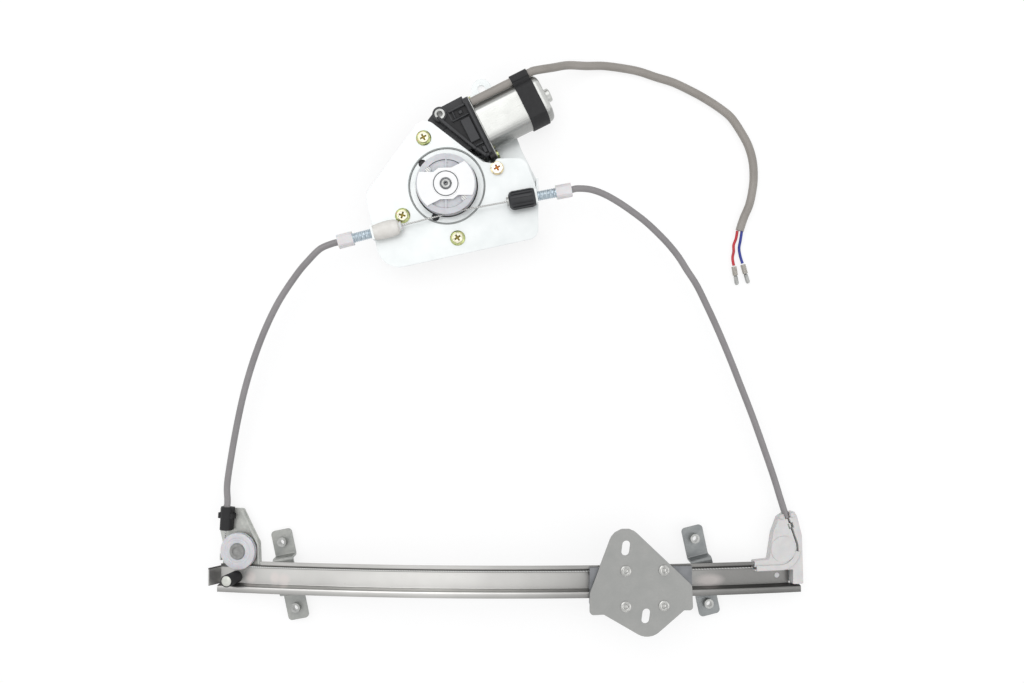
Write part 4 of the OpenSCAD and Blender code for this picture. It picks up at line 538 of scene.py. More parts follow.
@dataclass
class MeshDraft:
    """Points and faces of a mesh that is being drawn, in millimetres."""

    points: list[Vector] = field(default_factory=list)
    faces: list[tuple[int, ...]] = field(default_factory=list)

    def loft(self, rings: Sequence[Sequence[Vector]], around: bool = False) -> None:
        """Joins rings of equal count into one closed shell.

        Args:
            rings: The rings in order.
            around: Whether the last ring joins the first; if not, both ends are capped.
        """
        count, start = len(rings[0]), len(self.points)
        for ring in rings:
            self.points.extend(Vector(p) for p in ring)
        pairs = len(rings) if around else len(rings) - 1
        for i in range(pairs):
            a, b = start + i * count, start + ((i + 1) % len(rings)) * count
            self.faces.extend((a + k, a + (k + 1) % count, b + (k + 1) % count, b + k) for k in range(count))
        if not around:
            self.faces.append(tuple(range(start, start + count)))
            self.faces.append(tuple(start + (len(rings) - 1) * count + k for k in range(count)))

    def turn(self, profile: Sequence[tuple[float, float]], sides: int, place: Matrix) -> None:
        """Revolves a profile about the local Z axis.

        Args:
            profile: Pairs of radius and height, from one end to the other.
            sides: How many sides the form has.
            place: Where its local frame lies.
        """
        self.loft([[place @ Vector((r * math.cos(TURN * k / sides), r * math.sin(TURN * k / sides), z))
                    for k in range(sides)] for r, z in profile])

    def sweep(self, line: Sequence[Vector], radii: Sequence[float], sides: int) -> None:
        """Sweeps a round section along a line.

        Args:
            line: The middle line.
            radii: The radius at each of its points.
            sides: How many sides the section has.
        """
        rings: list[list[Vector]] = []
        side = Vector((0.0, 0.0, 1.0))
        for i, point in enumerate(line):
            ahead = (line[min(i + 1, len(line) - 1)] - line[max(i - 1, 0)]).normalized()
            side = (side - ahead * side.dot(ahead)).normalized()
            across = ahead.cross(side)
            rings.append([point + radii[i] * (math.cos(TURN * k / sides) * side
                                              + math.sin(TURN * k / sides) * across)
                          for k in range(sides)])
        self.loft(rings)

    def piece(self, name: str, finish: Finish, sharp_deg: float = 35.0) -> bpy.types.Object:
        """Turns the draft into an object with outward faces and smooth shading.

        Args:
            name: The object's name.
            finish: Its finish.
            sharp_deg: Edges that turn more than this stay sharp.

        Returns:
            The object, at the origin, with its place in its mesh.
        """
        mesh = bpy.data.meshes.new(name)
        mesh.from_pydata([p * MM for p in self.points], [], self.faces)
        made = bpy.data.objects.new(name, mesh)
        bpy.context.scene.collection.objects.link(made)
        tidy_mesh(mesh, sharp_deg)
        mesh.materials.append(finish.material())
        return made


def tidy_mesh(mesh: bpy.types.Mesh, sharp_deg: float) -> None:
    """Turns the faces outwards and shades them smooth up to an angle.

    Args:
        mesh: The mesh.
        sharp_deg: Edges that turn more than this stay sharp.
    """
    shape = bmesh.new()
    shape.from_mesh(mesh)
    bmesh.ops.remove_doubles(shape, verts=shape.verts, dist=1e-7)
    bmesh.ops.recalc_face_normals(shape, faces=shape.faces)
    shape.to_mesh(mesh)
    shape.free()
    mesh.shade_smooth()
    mesh.set_sharp_from_angle(angle=math.radians(sharp_deg))


def input_socket(tree: bpy.types.NodeTree, name: str, kind: str, value: Any = None) -> None:
    """Adds a named input to a geometry tree.

    Args:
        tree: The tree.
        name: The input's name.
        kind: Its socket type.
        value: Its default, if it has one.
    """
    socket = tree.interface.new_socket(name=name, in_out="INPUT", socket_type=kind)
    if value is not None:
        socket.default_value = value


def settle(host: bpy.types.Object, tree: bpy.types.NodeTree, values: Mapping[str, Any]) -> bpy.types.Object:
    """Runs a geometry tree on an object and keeps its result as a plain mesh.

    Args:
        host: The object that carries the tree.
        tree: The geometry tree.
        values: The inputs by name.

    Returns:
        The host, with its new mesh and no modifier.
    """
    modifier = host.modifiers.new(tree.name, "NODES")
    modifier.node_group = tree
    for item in tree.interface.items_tree:
        if item.item_type == "SOCKET" and item.in_out == "INPUT" and item.name in values:
            modifier[item.identifier] = values[item.name]
    bpy.context.view_layer.update()
    depsgraph = bpy.context.evaluated_depsgraph_get()
    mesh = bpy.data.meshes.new_from_object(host.evaluated_get(depsgraph), depsgraph=depsgraph)
    host.modifiers.remove(modifier)
    host.data = mesh
    mesh.name = host.name
    return host


def repeat_tree() -> bpy.types.NodeTree:
    """Builds the tree that sets one fastener on every point of its host.

    Returns:
        The tree, with inputs Fastener, First turn, Turn step and Finish.
    """
    tree = bpy.data.node_groups.new("set_fasteners", "GeometryNodeTree")
    input_socket(tree, "Points", "NodeSocketGeometry")
    input_socket(tree, "Fastener", "NodeSocketObject")
    input_socket(tree, "First turn", "NodeSocketFloat", 0.0)
    input_socket(tree, "Turn step", "NodeSocketFloat", 0.0)
    input_socket(tree, "Finish", "NodeSocketMaterial")
    tree.interface.new_socket(name="Geometry", in_out="OUTPUT", socket_type="NodeSocketGeometry")
    given = add_node(tree, "NodeGroupInput")
    source = add_node(tree, "GeometryNodeObjectInfo", inputs={"Object": given.outputs["Fastener"]})
    number = add_node(tree, "GeometryNodeInputIndex")
    turned = add_node(tree, "ShaderNodeMath", {"operation": "MULTIPLY_ADD"}, {
        0: number.outputs[0], 1: given.outputs["Turn step"], 2: given.outputs["First turn"]})
    turn = add_node(tree, "ShaderNodeCombineXYZ", inputs={"Z": turned.outputs[0]})
    placed = add_node(tree, "GeometryNodeInstanceOnPoints", inputs={
        "Points": given.outputs["Points"], "Instance": source.outputs["Geometry"],
        "Rotation": turn.outputs[0]})
    real = add_node(tree, "GeometryNodeRealizeInstances", inputs={0: placed.outputs[0]})
    dressed = add_node(tree, "GeometryNodeSetMaterial", inputs={
        "Geometry": real.outputs[0], "Material": given.outputs["Finish"]})
    add_node(tree, "NodeGroupOutput", inputs={0: dressed.outputs[0]})
    return tree


def thread_tree() -> bpy.types.NodeTree:
    """Builds the tree that draws a threaded sleeve along Z.

    Returns:
        The tree, with inputs Core radius, Crest radius, Length, Pitch and Finish.
    """
    tree = bpy.data.node_groups.new("cut_thread", "GeometryNodeTree")
    input_socket(tree, "Geometry", "NodeSocketGeometry")
    for name, value in (("Core radius", 0.004), ("Crest radius", 0.0045), ("Length", 0.02), ("Pitch", 0.00125)):
        input_socket(tree, name, "NodeSocketFloat", value)
    input_socket(tree, "Finish", "NodeSocketMaterial")
    tree.interface.new_socket(name="Geometry", in_out="OUTPUT", socket_type="NodeSocketGeometry")
    given = add_node(tree, "NodeGroupInput")
    turns = add_node(tree, "ShaderNodeMath", {"operation": "DIVIDE"}, {
        0: given.outputs["Length"], 1: given.outputs["Pitch"]})
    helix = add_node(tree, "GeometryNodeCurveSpiral", inputs={
        "Resolution": 28, "Rotations": turns.outputs[0], "Start Radius": given.outputs["Core radius"],
        "End Radius": given.outputs["Core radius"], "Height": given.outputs["Length"]})
    depth = add_node(tree, "ShaderNodeMath", {"operation": "SUBTRACT"}, {
        0: given.outputs["Crest radius"], 1: given.outputs["Core radius"]})
    ridge = add_node(tree, "GeometryNodeCurvePrimitiveCircle", inputs={
        "Resolution": 6, "Radius": depth.outputs[0]})
    wound = add_node(tree, "GeometryNodeCurveToMesh", inputs={
        0: helix.outputs[0], 1: ridge.outputs[0], "Fill Caps": True})
    core = add_node(tree, "GeometryNodeMeshCylinder", inputs={
        "Vertices": 36, "Radius": given.outputs["Core radius"], "Depth": given.outputs["Length"]})
    half = add_node(tree, "ShaderNodeMath", {"operation": "MULTIPLY"}, {0: given.outputs["Length"], 1: 0.5})
    lift = add_node(tree, "ShaderNodeCombineXYZ", inputs={"Z": half.outputs[0]})
    raised = add_node(tree, "GeometryNodeTransform", inputs={
        "Geometry": core.outputs[0], "Translation": lift.outputs[0]})
    joined = add_node(tree, "GeometryNodeJoinGeometry", inputs={0: wound.outputs[0]})
    tree.links.new(raised.outputs[0], joined.inputs[0])
    real = add_node(tree, "GeometryNodeRealizeInstances", inputs={0: joined.outputs[0]})
    dressed = add_node(tree, "GeometryNodeSetMaterial", inputs={
        "Geometry": real.outputs[0], "Material": given.outputs["Finish"]})
    add_node(tree, "NodeGroupOutput", inputs={0: dressed.outputs[0]})
    return tree


def keep(piece: bpy.types.Object, body: Body, slot: str, *nodes: str) -> None:
    """Lets a finished piece ride and stand for its nodes, and reports it.

    Args:
        piece: The finished piece.
        body: The body that it rides on.
        slot: The record's material slot; not used.
        nodes: The CAD nodes that it stands for.
    """
    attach(piece, body.value)
    if nodes:
        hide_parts(*nodes)
    LOG.info("%s rides on %s for %s", piece.name, body.value, ", ".join(nodes) or "itself")


@dataclass
class Studio:
    """The camera over the part, the pale floor and the soft light."""

    aim: Point = (5.16, 8.78, 1075.0)
    view_width: float = 921.6
    view_from: float = 25.0
    sensor: float = 36.0
    floor_half: float = 3.0
    floor_drop: float = 0.6
    key_watts: float = 7.5
    side_watts: float = 2.5

    def place_camera(self) -> None:
        """Looks straight down from the photograph's place."""
        lens = bpy.data.cameras.new("camera")
        lens.sensor_width = self.sensor
        lens.lens = self.sensor * (self.aim[2] - self.view_from) / self.view_width
        lens.clip_end = 30.0
        camera = bpy.data.objects.new("camera", lens)
        camera.location = Vector(self.aim) * MM
        bpy.context.scene.collection.objects.link(camera)
        bpy.context.scene.camera = camera

    def light(self, name: str, spot: Point, size: float, watts: float) -> None:
        """Hangs one soft square light that faces the part.

        Args:
            name: The light's name.
            spot: Its place in metres.
            size: Its side in metres.
            watts: Its power.
        """
        lamp = bpy.data.lights.new(name, "AREA")
        lamp.size, lamp.energy = size, watts
        hung = bpy.data.objects.new(name, lamp)
        hung.location = spot
        hung.rotation_euler = (-Vector(spot)).to_track_quat("-Z", "Y").to_euler()
        bpy.context.scene.collection.objects.link(hung)

    def seen_paths(self, tree: bpy.types.NodeTree) -> bpy.types.NodeSocket:
        """Tells the rays that see the background: the camera's, and those by way of metal or glass.

        Args:
            tree: The material's or the world's tree.

        Returns:
            One for such a ray, and nothing for the rest.
        """
        path = add_node(tree, "ShaderNodeLightPath")
        through = add_node(tree, "ShaderNodeMath", {"operation": "MAXIMUM"}, {
            0: path.outputs["Is Glossy Ray"], 1: path.outputs["Is Transmission Ray"]})
        return add_node(tree, "ShaderNodeMath", {"operation": "MAXIMUM"}, {
            0: path.outputs["Is Camera Ray"], 1: through.outputs[0]}).outputs[0]

    def fill_world(self) -> None:
        """Surrounds the part with a pale room that darkens towards the horizon, and is white to the camera."""
        world = bpy.data.worlds.new("pale_room")
        bpy.context.scene.world = world
        world.use_nodes = True
        tree = world.node_tree
        ground = next(n for n in tree.nodes if n.type == "BACKGROUND")
        heading = add_node(tree, "ShaderNodeTexCoord")
        parts = add_node(tree, "ShaderNodeSeparateXYZ", inputs={0: heading.outputs["Generated"]})
        ramp = add_node(tree, "ShaderNodeValToRGB", inputs={0: parts.outputs["Z"]})
        stops = ramp.color_ramp.elements
        stops[0].position, stops[0].color = 0.0, (0.16, 0.16, 0.165, 1.0)
        stops[1].position, stops[1].color = 0.9, (1.06, 1.06, 1.07, 1.0)
        stops.new(0.45).color = (0.52, 0.52, 0.53, 1.0)
        shown = add_node(tree, "ShaderNodeMix", {"data_type": "RGBA"}, {
            0: self.seen_paths(tree), 6: ramp.outputs[0], 7: (1.0, 1.0, 1.0, 1.0)})
        tree.links.new(shown.outputs[2], ground.inputs["Color"])

    def lay_floor(self) -> None:
        """Lays the white floor, which keeps a soft shadow."""
        half, drop = self.floor_half, -self.floor_drop * MM
        mesh = bpy.data.meshes.new("floor")
        mesh.from_pydata([(-half, -half, drop), (half, -half, drop), (half, half, drop), (-half, half, drop)],
                         [], [(0, 1, 2, 3)])
        floor = bpy.data.objects.new("floor", mesh)
        bpy.context.scene.collection.objects.link(floor)
        material = bpy.data.materials.new("white_paper_floor")
        material.use_nodes = True
        tree = material.node_tree
        shader = next(n for n in tree.nodes if n.type == "BSDF_PRINCIPLED")
        shader.inputs["Base Color"].default_value = (0.88, 0.88, 0.88, 1.0)
        shader.inputs["Roughness"].default_value = 0.9
        shader.inputs["Specular IOR Level"].default_value = 0.0
        end = next(n for n in tree.nodes if n.type == "OUTPUT_MATERIAL")
        share = add_node(tree, "ShaderNodeMath", {"operation": "MULTIPLY"}, {0: self.seen_paths(tree), 1: 0.72})
        glow = add_node(tree, "ShaderNodeEmission", inputs={"Color": (1.0, 1.0, 1.0, 1.0), "Strength": 1.08})
        mixed = add_node(tree, "ShaderNodeMixShader", inputs={
            0: share.outputs[0], 1: shader.outputs[0], 2: glow.outputs[0]})
        tree.links.new(mixed.outputs[0], end.inputs["Surface"])
        mesh.materials.append(material)

    def build(self) -> None:
        """Sets the whole stage."""
        self.place_camera()
        self.fill_world()
        self.lay_floor()
        self.light("overhead_softbox", (-0.55, 0.75, 1.5), 1.5, self.key_watts)
        self.light("side_softbox", (1.3, -0.5, 1.1), 0.9, self.side_watts)
        bpy.context.scene.view_settings.view_transform = "Standard"


@dataclass
class MotorLead:
    """The grey lead, its red and blue wires, and the bullets in their clear sleeves."""

    lead_d: float = 7.6
    wire_d: float = 2.6
    bullet_r: float = 2.0
    lead_route: tuple[Point, ...] = (
        (20.2016, 249.197, 29.9752), (21.9883, 250.0956, 29.9752), (23.775, 250.9943, 29.9752),
        (30, 252.5, 29), (42, 255.5, 24), (56, 259.5, 16), (73, 260.5, 9), (89, 261.5, 5), (107, 259.5, 4), (122, 256.5, 4), (137, 251.5, 4), (153, 246.5, 4),
        (168, 239.5, 4), (181, 232.5, 4), (195, 223.5, 4), (206, 214.5, 4), (215, 201.5, 4),
        (222, 188.5, 4), (226, 174.5, 4), (227, 160.5, 4), (226, 148.5, 4), (223, 134.5, 4),
        (218, 122.5, 4), (214, 110.5, 4))
    red_route: tuple[Point, ...] = (
        (212, 110.5, 4), (211, 103.5, 3), (209, 97.5, 2), (209, 91.5, 2), (208, 85.5, 2), (209, 78.5, 2.5))
    blue_route: tuple[Point, ...] = (
        (216.2, 110.5, 4), (215, 101.5, 3), (214, 94.5, 2), (215, 87.5, 2), (217, 80.5, 2.5))
    red_bullet: tuple[Point, Point] = ((209, 78.5, 2.5), (212, 60.5, 2.5))
    blue_bullet: tuple[Point, Point] = ((217, 80.5, 2.5), (222.4, 61.9, 2.5))

    def cord_curve(self, name: str, route: Sequence[Point], diameter: float, finish: Finish) -> tuple[
            bpy.types.Object, float]:
        """Draws one cord as a curve along its route.

        Args:
            name: The piece's name.
            route: Its points in millimetres.
            diameter: Its diameter in millimetres.
            finish: Its finish.

        Returns:
            The curve object and its length in metres.
        """
        line = smooth_route(route, 8)
        curve = bpy.data.curves.new(name, "CURVE")
        curve.dimensions = "3D"
        curve.bevel_depth = diameter / 2 * MM
        curve.bevel_resolution = 6
        curve.use_fill_caps = True
        spline = curve.splines.new("POLY")
        spline.points.add(len(line) - 1)
        for point, spot in zip(spline.points, line):
            point.co = (*(spot * MM), 1.0)
        spline.use_smooth = True
        curve.materials.append(finish.material())
        made = bpy.data.objects.new(name, curve)
        bpy.context.scene.collection.objects.link(made)
        return made, route_length(line)

    def bullet(self, name: str, ends: tuple[Point, Point]) -> bpy.types.Object:
        """Draws one crimped bullet: barrel, waist, body and rounded nose.

        Args:
            name: The piece's name.
            ends: Its two ends in millimetres.

        Returns:
            The piece.
        """
        start, end = Vector(ends[0]), Vector(ends[1])
        run = end - start
        shares = ((0.05, 0.62), (0.08, 0.8), (0.2, 0.84), (0.24, 0.66), (0.3, 0.66), (0.34, 0.8),
                  (0.46, 0.84), (0.5, 0.94), (0.53, 0.7), (0.56, 0.95), (0.88, 0.97), (0.93, 0.88),
                  (0.965, 0.66), (0.985, 0.36))
        draft = MeshDraft()
        draft.sweep([start + run * s for s, _ in shares], [self.bullet_r * r for _, r in shares], 20)
        return draft.piece(name, TURNED_STEEL)

    def sleeve(self, name: str, ends: tuple[Point, Point]) -> bpy.types.Object:
        """Draws one clear sleeve as a thin tube, flared at its wire end.

        Args:
            name: The piece's name.
            ends: The two ends of its bullet in millimetres.

        Returns:
            The piece.
        """
        start, end = Vector(ends[0]), Vector(ends[1])
        run = end - start
        walls = ((0.05, 1.16), (0.12, 1.2), (0.42, 1.18), (0.5, 1.2), (0.5, 1.08), (0.4, 1.06),
                 (0.12, 1.07), (0.05, 1.03))
        side = run.cross(Vector((0, 0, 1))).normalized()
        up = side.cross(run).normalized()
        rings = [[start + run * s + self.bullet_r * r * (math.cos(TURN * k / 20) * side
                                                        + math.sin(TURN * k / 20) * up)
                  for k in range(20)] for s, r in walls]
        draft = MeshDraft()
        draft.loft(rings, around=True)
        return draft.piece(name, CLEAR_PVC)

    def build(self) -> None:
        """Makes the lead with all that is on it."""
        bullets = [self.bullet("red_bullet", self.red_bullet), self.bullet("blue_bullet", self.blue_bullet)]
        covers = [self.sleeve("red_cover", self.red_bullet), self.sleeve("blue_cover", self.blue_bullet)]
        for piece in bullets:
            keep(piece, Body.FRAME, "dull_steel", "wire_terminals")
        for piece in covers:
            keep(piece, Body.FRAME, "clear_sleeve", "terminal_sleeves")
        wires = (("red_wire_run", self.red_route, RED_PVC, "red_pvc", "red_wire", 0),
                 ("blue_wire_run", self.blue_route, BLUE_PVC, "blue_pvc", "blue_wire", 1))
        lead, length = self.cord_curve("lead_run", self.lead_route, self.lead_d, LEAD_GREY)
        keep(lead, Body.FRAME, "lead_grey", "motor_lead")
        for name, route, finish, slot, node, i in wires:
            wire, run = self.cord_curve(name, route, self.wire_d, finish)
            keep(wire, Body.FRAME, slot, node)


@dataclass
class Conduits:
    """The two cable conduits that run from the drum's adjusters to the ends of the rail."""

    radius: float = 3.0
    left: tuple[Point, ...] = (
        (-143.438, 98.5359, 39.05), (-149.244, 97.0235, 39.05), (-155.05, 95.511, 39.05), (-165.5, 91, 38),
        (-176, 81, 36.5), (-187, 68.5, 34),
        (-203, 45.5, 31), (-216, 20.5, 28), (-227, -6.5, 25), (-236, -34.5, 22), (-243, -62.5, 19),
        (-249, -91.5, 16), (-254, -120.5, 13), (-254.499, -136.157, 10.074), (-254.909, -142.143, 9.99086),
        (-255.729, -154.114, 9.82476))
    right: tuple[Point, ...] = (
        (51.8719, 142.107, 41.35), (57.7695, 143.211, 41.35), (63.667, 144.315, 41.35), (75, 143.5, 40.5), (87, 139.5, 39.5),
        (100, 132.5, 38), (112, 124.5, 37), (124, 115.5, 36), (135, 105.5, 35), (145, 95.5, 33),
        (154, 84.5, 32), (162, 72.5, 30), (170, 60.5, 29), (177, 47.5, 27), (189, 22.5, 25),
        (201, -4.5, 22), (212, -31.5, 20), (223, -58.5, 17), (233, -85.5, 15), (243, -113.5, 13),
        (250, -135.5, 12), (255.295, -151.798, 11.2876))

    def build(self) -> None:
        """Sweeps both conduits."""
        for name, route, node in (("left_run", self.left, "left_conduit"),
                                  ("right_run", self.right, "right_conduit")):
            line = smooth_route(route, 9)
            draft = MeshDraft()
            draft.sweep(line, [self.radius] * len(line), 24)
            keep(draft.piece(name, CONDUIT_GREY), Body.FRAME, "conduit_grey", node)


@dataclass
class Adjusters:
    """The two threaded sleeves beside the drum."""

    drum: Point = (-53.2381, 148.175, 0.0)
    cable_r: float = 25.3
    crest_r: float = 4.5
    core_r: float = 3.75
    pitch: float = 1.75
    before: float = 1.6
    length: float = 22.2

    def build(self) -> None:
        """Winds each thread and sets it on its cable's line."""
        tree = thread_tree()
        for name, lean, side, z, at, node in (("left_thread", 14.6, -1, 39.05, 73.0, "left_sleeve"),
                                              ("right_thread", 10.6, 1, 41.35, 75.4, "right_sleeve")):
            angle = math.radians(lean)
            tangent = Vector((self.cable_r * math.sin(angle), -self.cable_r * math.cos(angle), 0))
            ahead = Vector((side * math.cos(angle), side * math.sin(angle), 0))
            start = Vector(self.drum) + tangent + ahead * (at - self.before) + Vector((0, 0, z))
            host = MeshDraft([Vector()], []).piece(name, BLUE_ZINC)
            settle(host, tree, {
                "Core radius": self.core_r * MM, "Crest radius": self.crest_r * MM,
                "Length": self.length * MM, "Pitch": self.pitch * MM, "Finish": BLUE_ZINC.material()})
            turn = ahead.to_track_quat("Z", "Y").to_matrix().to_4x4()
            host.data.transform(Matrix.Translation(start * MM) @ turn)
            tidy_mesh(host.data, 50.0)
            keep(host, Body.FRAME, "blue_zinc", node)


@dataclass
class PlateScrews:
    """The hex flange screws that hold the housing to the plate."""

    drum: Point = (-53.2381, 148.175, 0.0)
    circle_r: float = 47.7
    degrees: tuple[float, ...] = (19.3, 115.8, 214.0, 281.8)
    tips: tuple[float, ...] = (0.2, 2.0, 2.0, 0.2)
    plate_top: float = 30.0
    shank_r: float = 2.6
    flange_r: float = 6.8
    flange_t: float = 1.6
    hex_r: float = 5.2
    hex_t: float = 3.2
    arm_l: float = 6.6
    arm_w: float = 1.9
    arm_d: float = 1.9

    def head(self, name: str, hex_r: float, flange_r: float) -> bpy.types.Object:
        """Draws one head: flange, chamfered hexagon, dished top and cross recess.

        Args:
            name: The object's name.
            hex_r: The hexagon's corner radius.
            flange_r: The flange's radius.

        Returns:
            The head, standing on the origin.
        """
        sides = 60
        flat = hex_r * math.cos(math.pi / 6)
        top = self.flange_t + self.hex_t

        def ring(cap: float, z: float, hexagon: bool) -> list[Vector]:
            """Gives one ring, cut to the hexagon where it is one."""
            spots = []
            for k in range(sides):
                angle = TURN * k / sides
                reach = flat / math.cos((angle + math.pi / 6) % (math.pi / 3) - math.pi / 6) if hexagon else cap
                spots.append(Vector((min(reach, cap) * math.cos(angle), min(reach, cap) * math.sin(angle), z)))
            return spots

        rings = [ring(flange_r - 0.2, 0.0, False), ring(flange_r, 0.25, False),
                 ring(flange_r, self.flange_t - 0.9, False), ring(flange_r - 0.35, self.flange_t - 0.5, False),
                 ring(hex_r + 0.25, self.flange_t + 0.05, False), ring(hex_r, self.flange_t + 0.2, True),
                 ring(hex_r, top - 0.9, True), ring(hex_r - 0.35, top - 0.4, True),
                 ring(flat - 0.15, top, False), ring(flat - 0.75, top, False),
                 ring(flat - 1.1, top - 0.3, False), ring(0.4, top - 0.35, False)]
        draft = MeshDraft()
        draft.loft(rings)
        made = draft.piece(name, CHROMATE)
        recess = MeshDraft()
        for long_x in (True, False):
            half_x, half_y = (self.arm_l / 2, self.arm_w / 2) if long_x else (self.arm_w / 2, self.arm_l / 2)
            recess.loft([[Vector((sx * half_x * s, sy * half_y * s, z))
                          for sx, sy in ((1, 1), (-1, 1), (-1, -1), (1, -1))]
                         for s, z in ((0.62, top - self.arm_d), (1.0, top + 0.1 + 0.01 * long_x))])
        cutter = recess.piece(name + "_recess", CHROMATE)
        cut = made.modifiers.new("recess", "BOOLEAN")
        cut.operation, cut.solver, cut.object = "DIFFERENCE", "EXACT", cutter
        cut.use_self = True
        bpy.context.view_layer.update()
        depsgraph = bpy.context.evaluated_depsgraph_get()
        mesh = bpy.data.meshes.new_from_object(made.evaluated_get(depsgraph), depsgraph=depsgraph)
        made.modifiers.remove(cut)
        made.data = mesh
        bpy.data.objects.remove(cutter)
        return made

    def set_screws(self, name: str, picks: Sequence[int], head: bpy.types.Object, finish: Finish,
                   node: str) -> None:
        """Sets a kind of screw on its holes, each with its shank.

        Args:
            name: The piece's name.
            picks: The numbers of the holes.
            head: The head that repeats.
            finish: Their finish.
            node: The node that they stand for.
        """
        spots = [Vector(self.drum) + self.circle_r * Vector((math.cos(math.radians(self.degrees[i])),
                                                             math.sin(math.radians(self.degrees[i])), 0))
                 for i in picks]
        host = MeshDraft([s + Vector((0, 0, self.plate_top)) for s in spots], []).piece(name, finish)
        settle(host, repeat_tree(), {"Fastener": head, "First turn": 0.5, "Turn step": 0.83,
                                     "Finish": finish.material()})
        shanks = MeshDraft()
        for i, spot in zip(picks, spots):
            low = self.tips[i]
            shanks.turn(((1.9, low), (self.shank_r, low + 0.7), (self.shank_r, self.plate_top + 0.1),
                         (0.3, self.plate_top + 0.1)), 28, Matrix.Translation(spot))
        joined = bmesh.new()
        joined.from_mesh(host.data)
        made = shanks.piece(name + "_shanks", finish)
        joined.from_mesh(made.data)
        joined.to_mesh(host.data)
        joined.free()
        bpy.data.objects.remove(made)
        bpy.data.objects.remove(head)
        host.data.set_sharp_from_angle(angle=math.radians(28))
        keep(host, Body.FRAME, "chromate", node)

    def build(self) -> None:
        """Makes the three flange screws and the plain hex screw."""
        self.set_screws("plate_screw_set", (1, 2, 3), self.head("flange_head", self.hex_r, self.flange_r),
                        CHROMATE, "flange_screws")
        self.set_screws("gold_screw", (0,), self.head("gold_head", self.hex_r * 1.1, self.hex_r * 1.12),
                        GOLD_CHROMATE, "hex_screw")


@dataclass
class MotorCan:
    """The drawn double-D can with its flange and stepped rear end."""

    worm: Point = (-68.29, 178.10, 19.4)
    lean_deg: float = 26.7
    start: float = 51.6
    end: float = 115.6
    radius: float = 22.0
    half: float = 17.0
    blend: float = 26.0
    sides: int = 96
    flange_half: float = 30.5
    flange_half_z: float = 13.0
    flange_t: float = 1.2

    def outline(self, inset: float) -> list[tuple[float, float]]:
        """Gives the double-D section, its corners softly rounded.

        Args:
            inset: How far it lies inside the can's skin.

        Returns:
            Pairs of places across and up.
        """
        spots = []
        for k in range(self.sides):
            angle = TURN * (k + 0.5) / self.sides
            flat = (self.half - inset) / max(abs(math.sin(angle)), 1e-3)
            reach = ((self.radius - inset) ** -self.blend + flat ** -self.blend) ** (-1 / self.blend)
            spots.append((reach * math.cos(angle), reach * math.sin(angle)))
        return spots

    def place(self) -> Matrix:
        """Gives the motor's frame: X along its axis, Z up."""
        return Matrix.Translation(Vector(self.worm)) @ Matrix.Rotation(math.radians(self.lean_deg), 4, "Z")

    def build(self) -> None:
        """Lofts the can, its flange and its bearing boss."""
        frame_of = self.place()
        draft = MeshDraft()
        bend = 4.2
        steps = [(self.start + 1.0, -0.0), (self.start + 2.2, 0.0), (self.end - bend, 0.0)]
        steps += [(self.end - bend + bend * math.sin(a * math.pi / 16), bend - bend * math.cos(a * math.pi / 16))
                  for a in range(1, 9)]
        rings = [[frame_of @ Vector((s, n, z)) for n, z in self.outline(inset)] for s, inset in steps]
        rings.append([frame_of @ Vector((self.end, n, z)) for n, z in self.outline(8.5)])
        rings.append([frame_of @ Vector((self.end, n, z)) for n, z in self.outline(10.0)])
        draft.loft(rings)
        tipped = frame_of @ Matrix.Rotation(math.pi / 2, 4, "Y")
        draft.turn(((7.4, self.end - 0.5), (7.4, self.end + 0.3), (6.3, self.end + 0.9), (6.25, self.end + 4.2),
                    (5.6, self.end + 5.0), (3.4, self.end + 5.0), (2.9, self.end + 4.2), (0.3, self.end + 4.1)),
                   48, tipped)
        corner = 5.0
        plate: list[tuple[float, float]] = []
        for cx, cz, first in ((1, 1, 0), (-1, 1, 1), (-1, -1, 2), (1, -1, 3)):
            for k in range(9):
                angle = math.pi / 2 * (first + k / 8)
                plate.append((cx * (self.flange_half - corner) + corner * math.cos(angle),
                              cz * (self.flange_half_z - corner) + corner * math.sin(angle)))
        levels = ((self.start, 0.25), (self.start + 0.25, 0.0), (self.start + self.flange_t - 0.25, 0.0),
                  (self.start + self.flange_t, 0.25))
        draft.loft([[frame_of @ Vector((s, n * (1 - i / self.flange_half), z * (1 - i / self.flange_half_z)))
                     for n, z in plate] for s, i in levels])
        keep(draft.piece("can_shell", DRAWN_STEEL, 32.0), Body.FRAME, "galvanised", "motor_can")


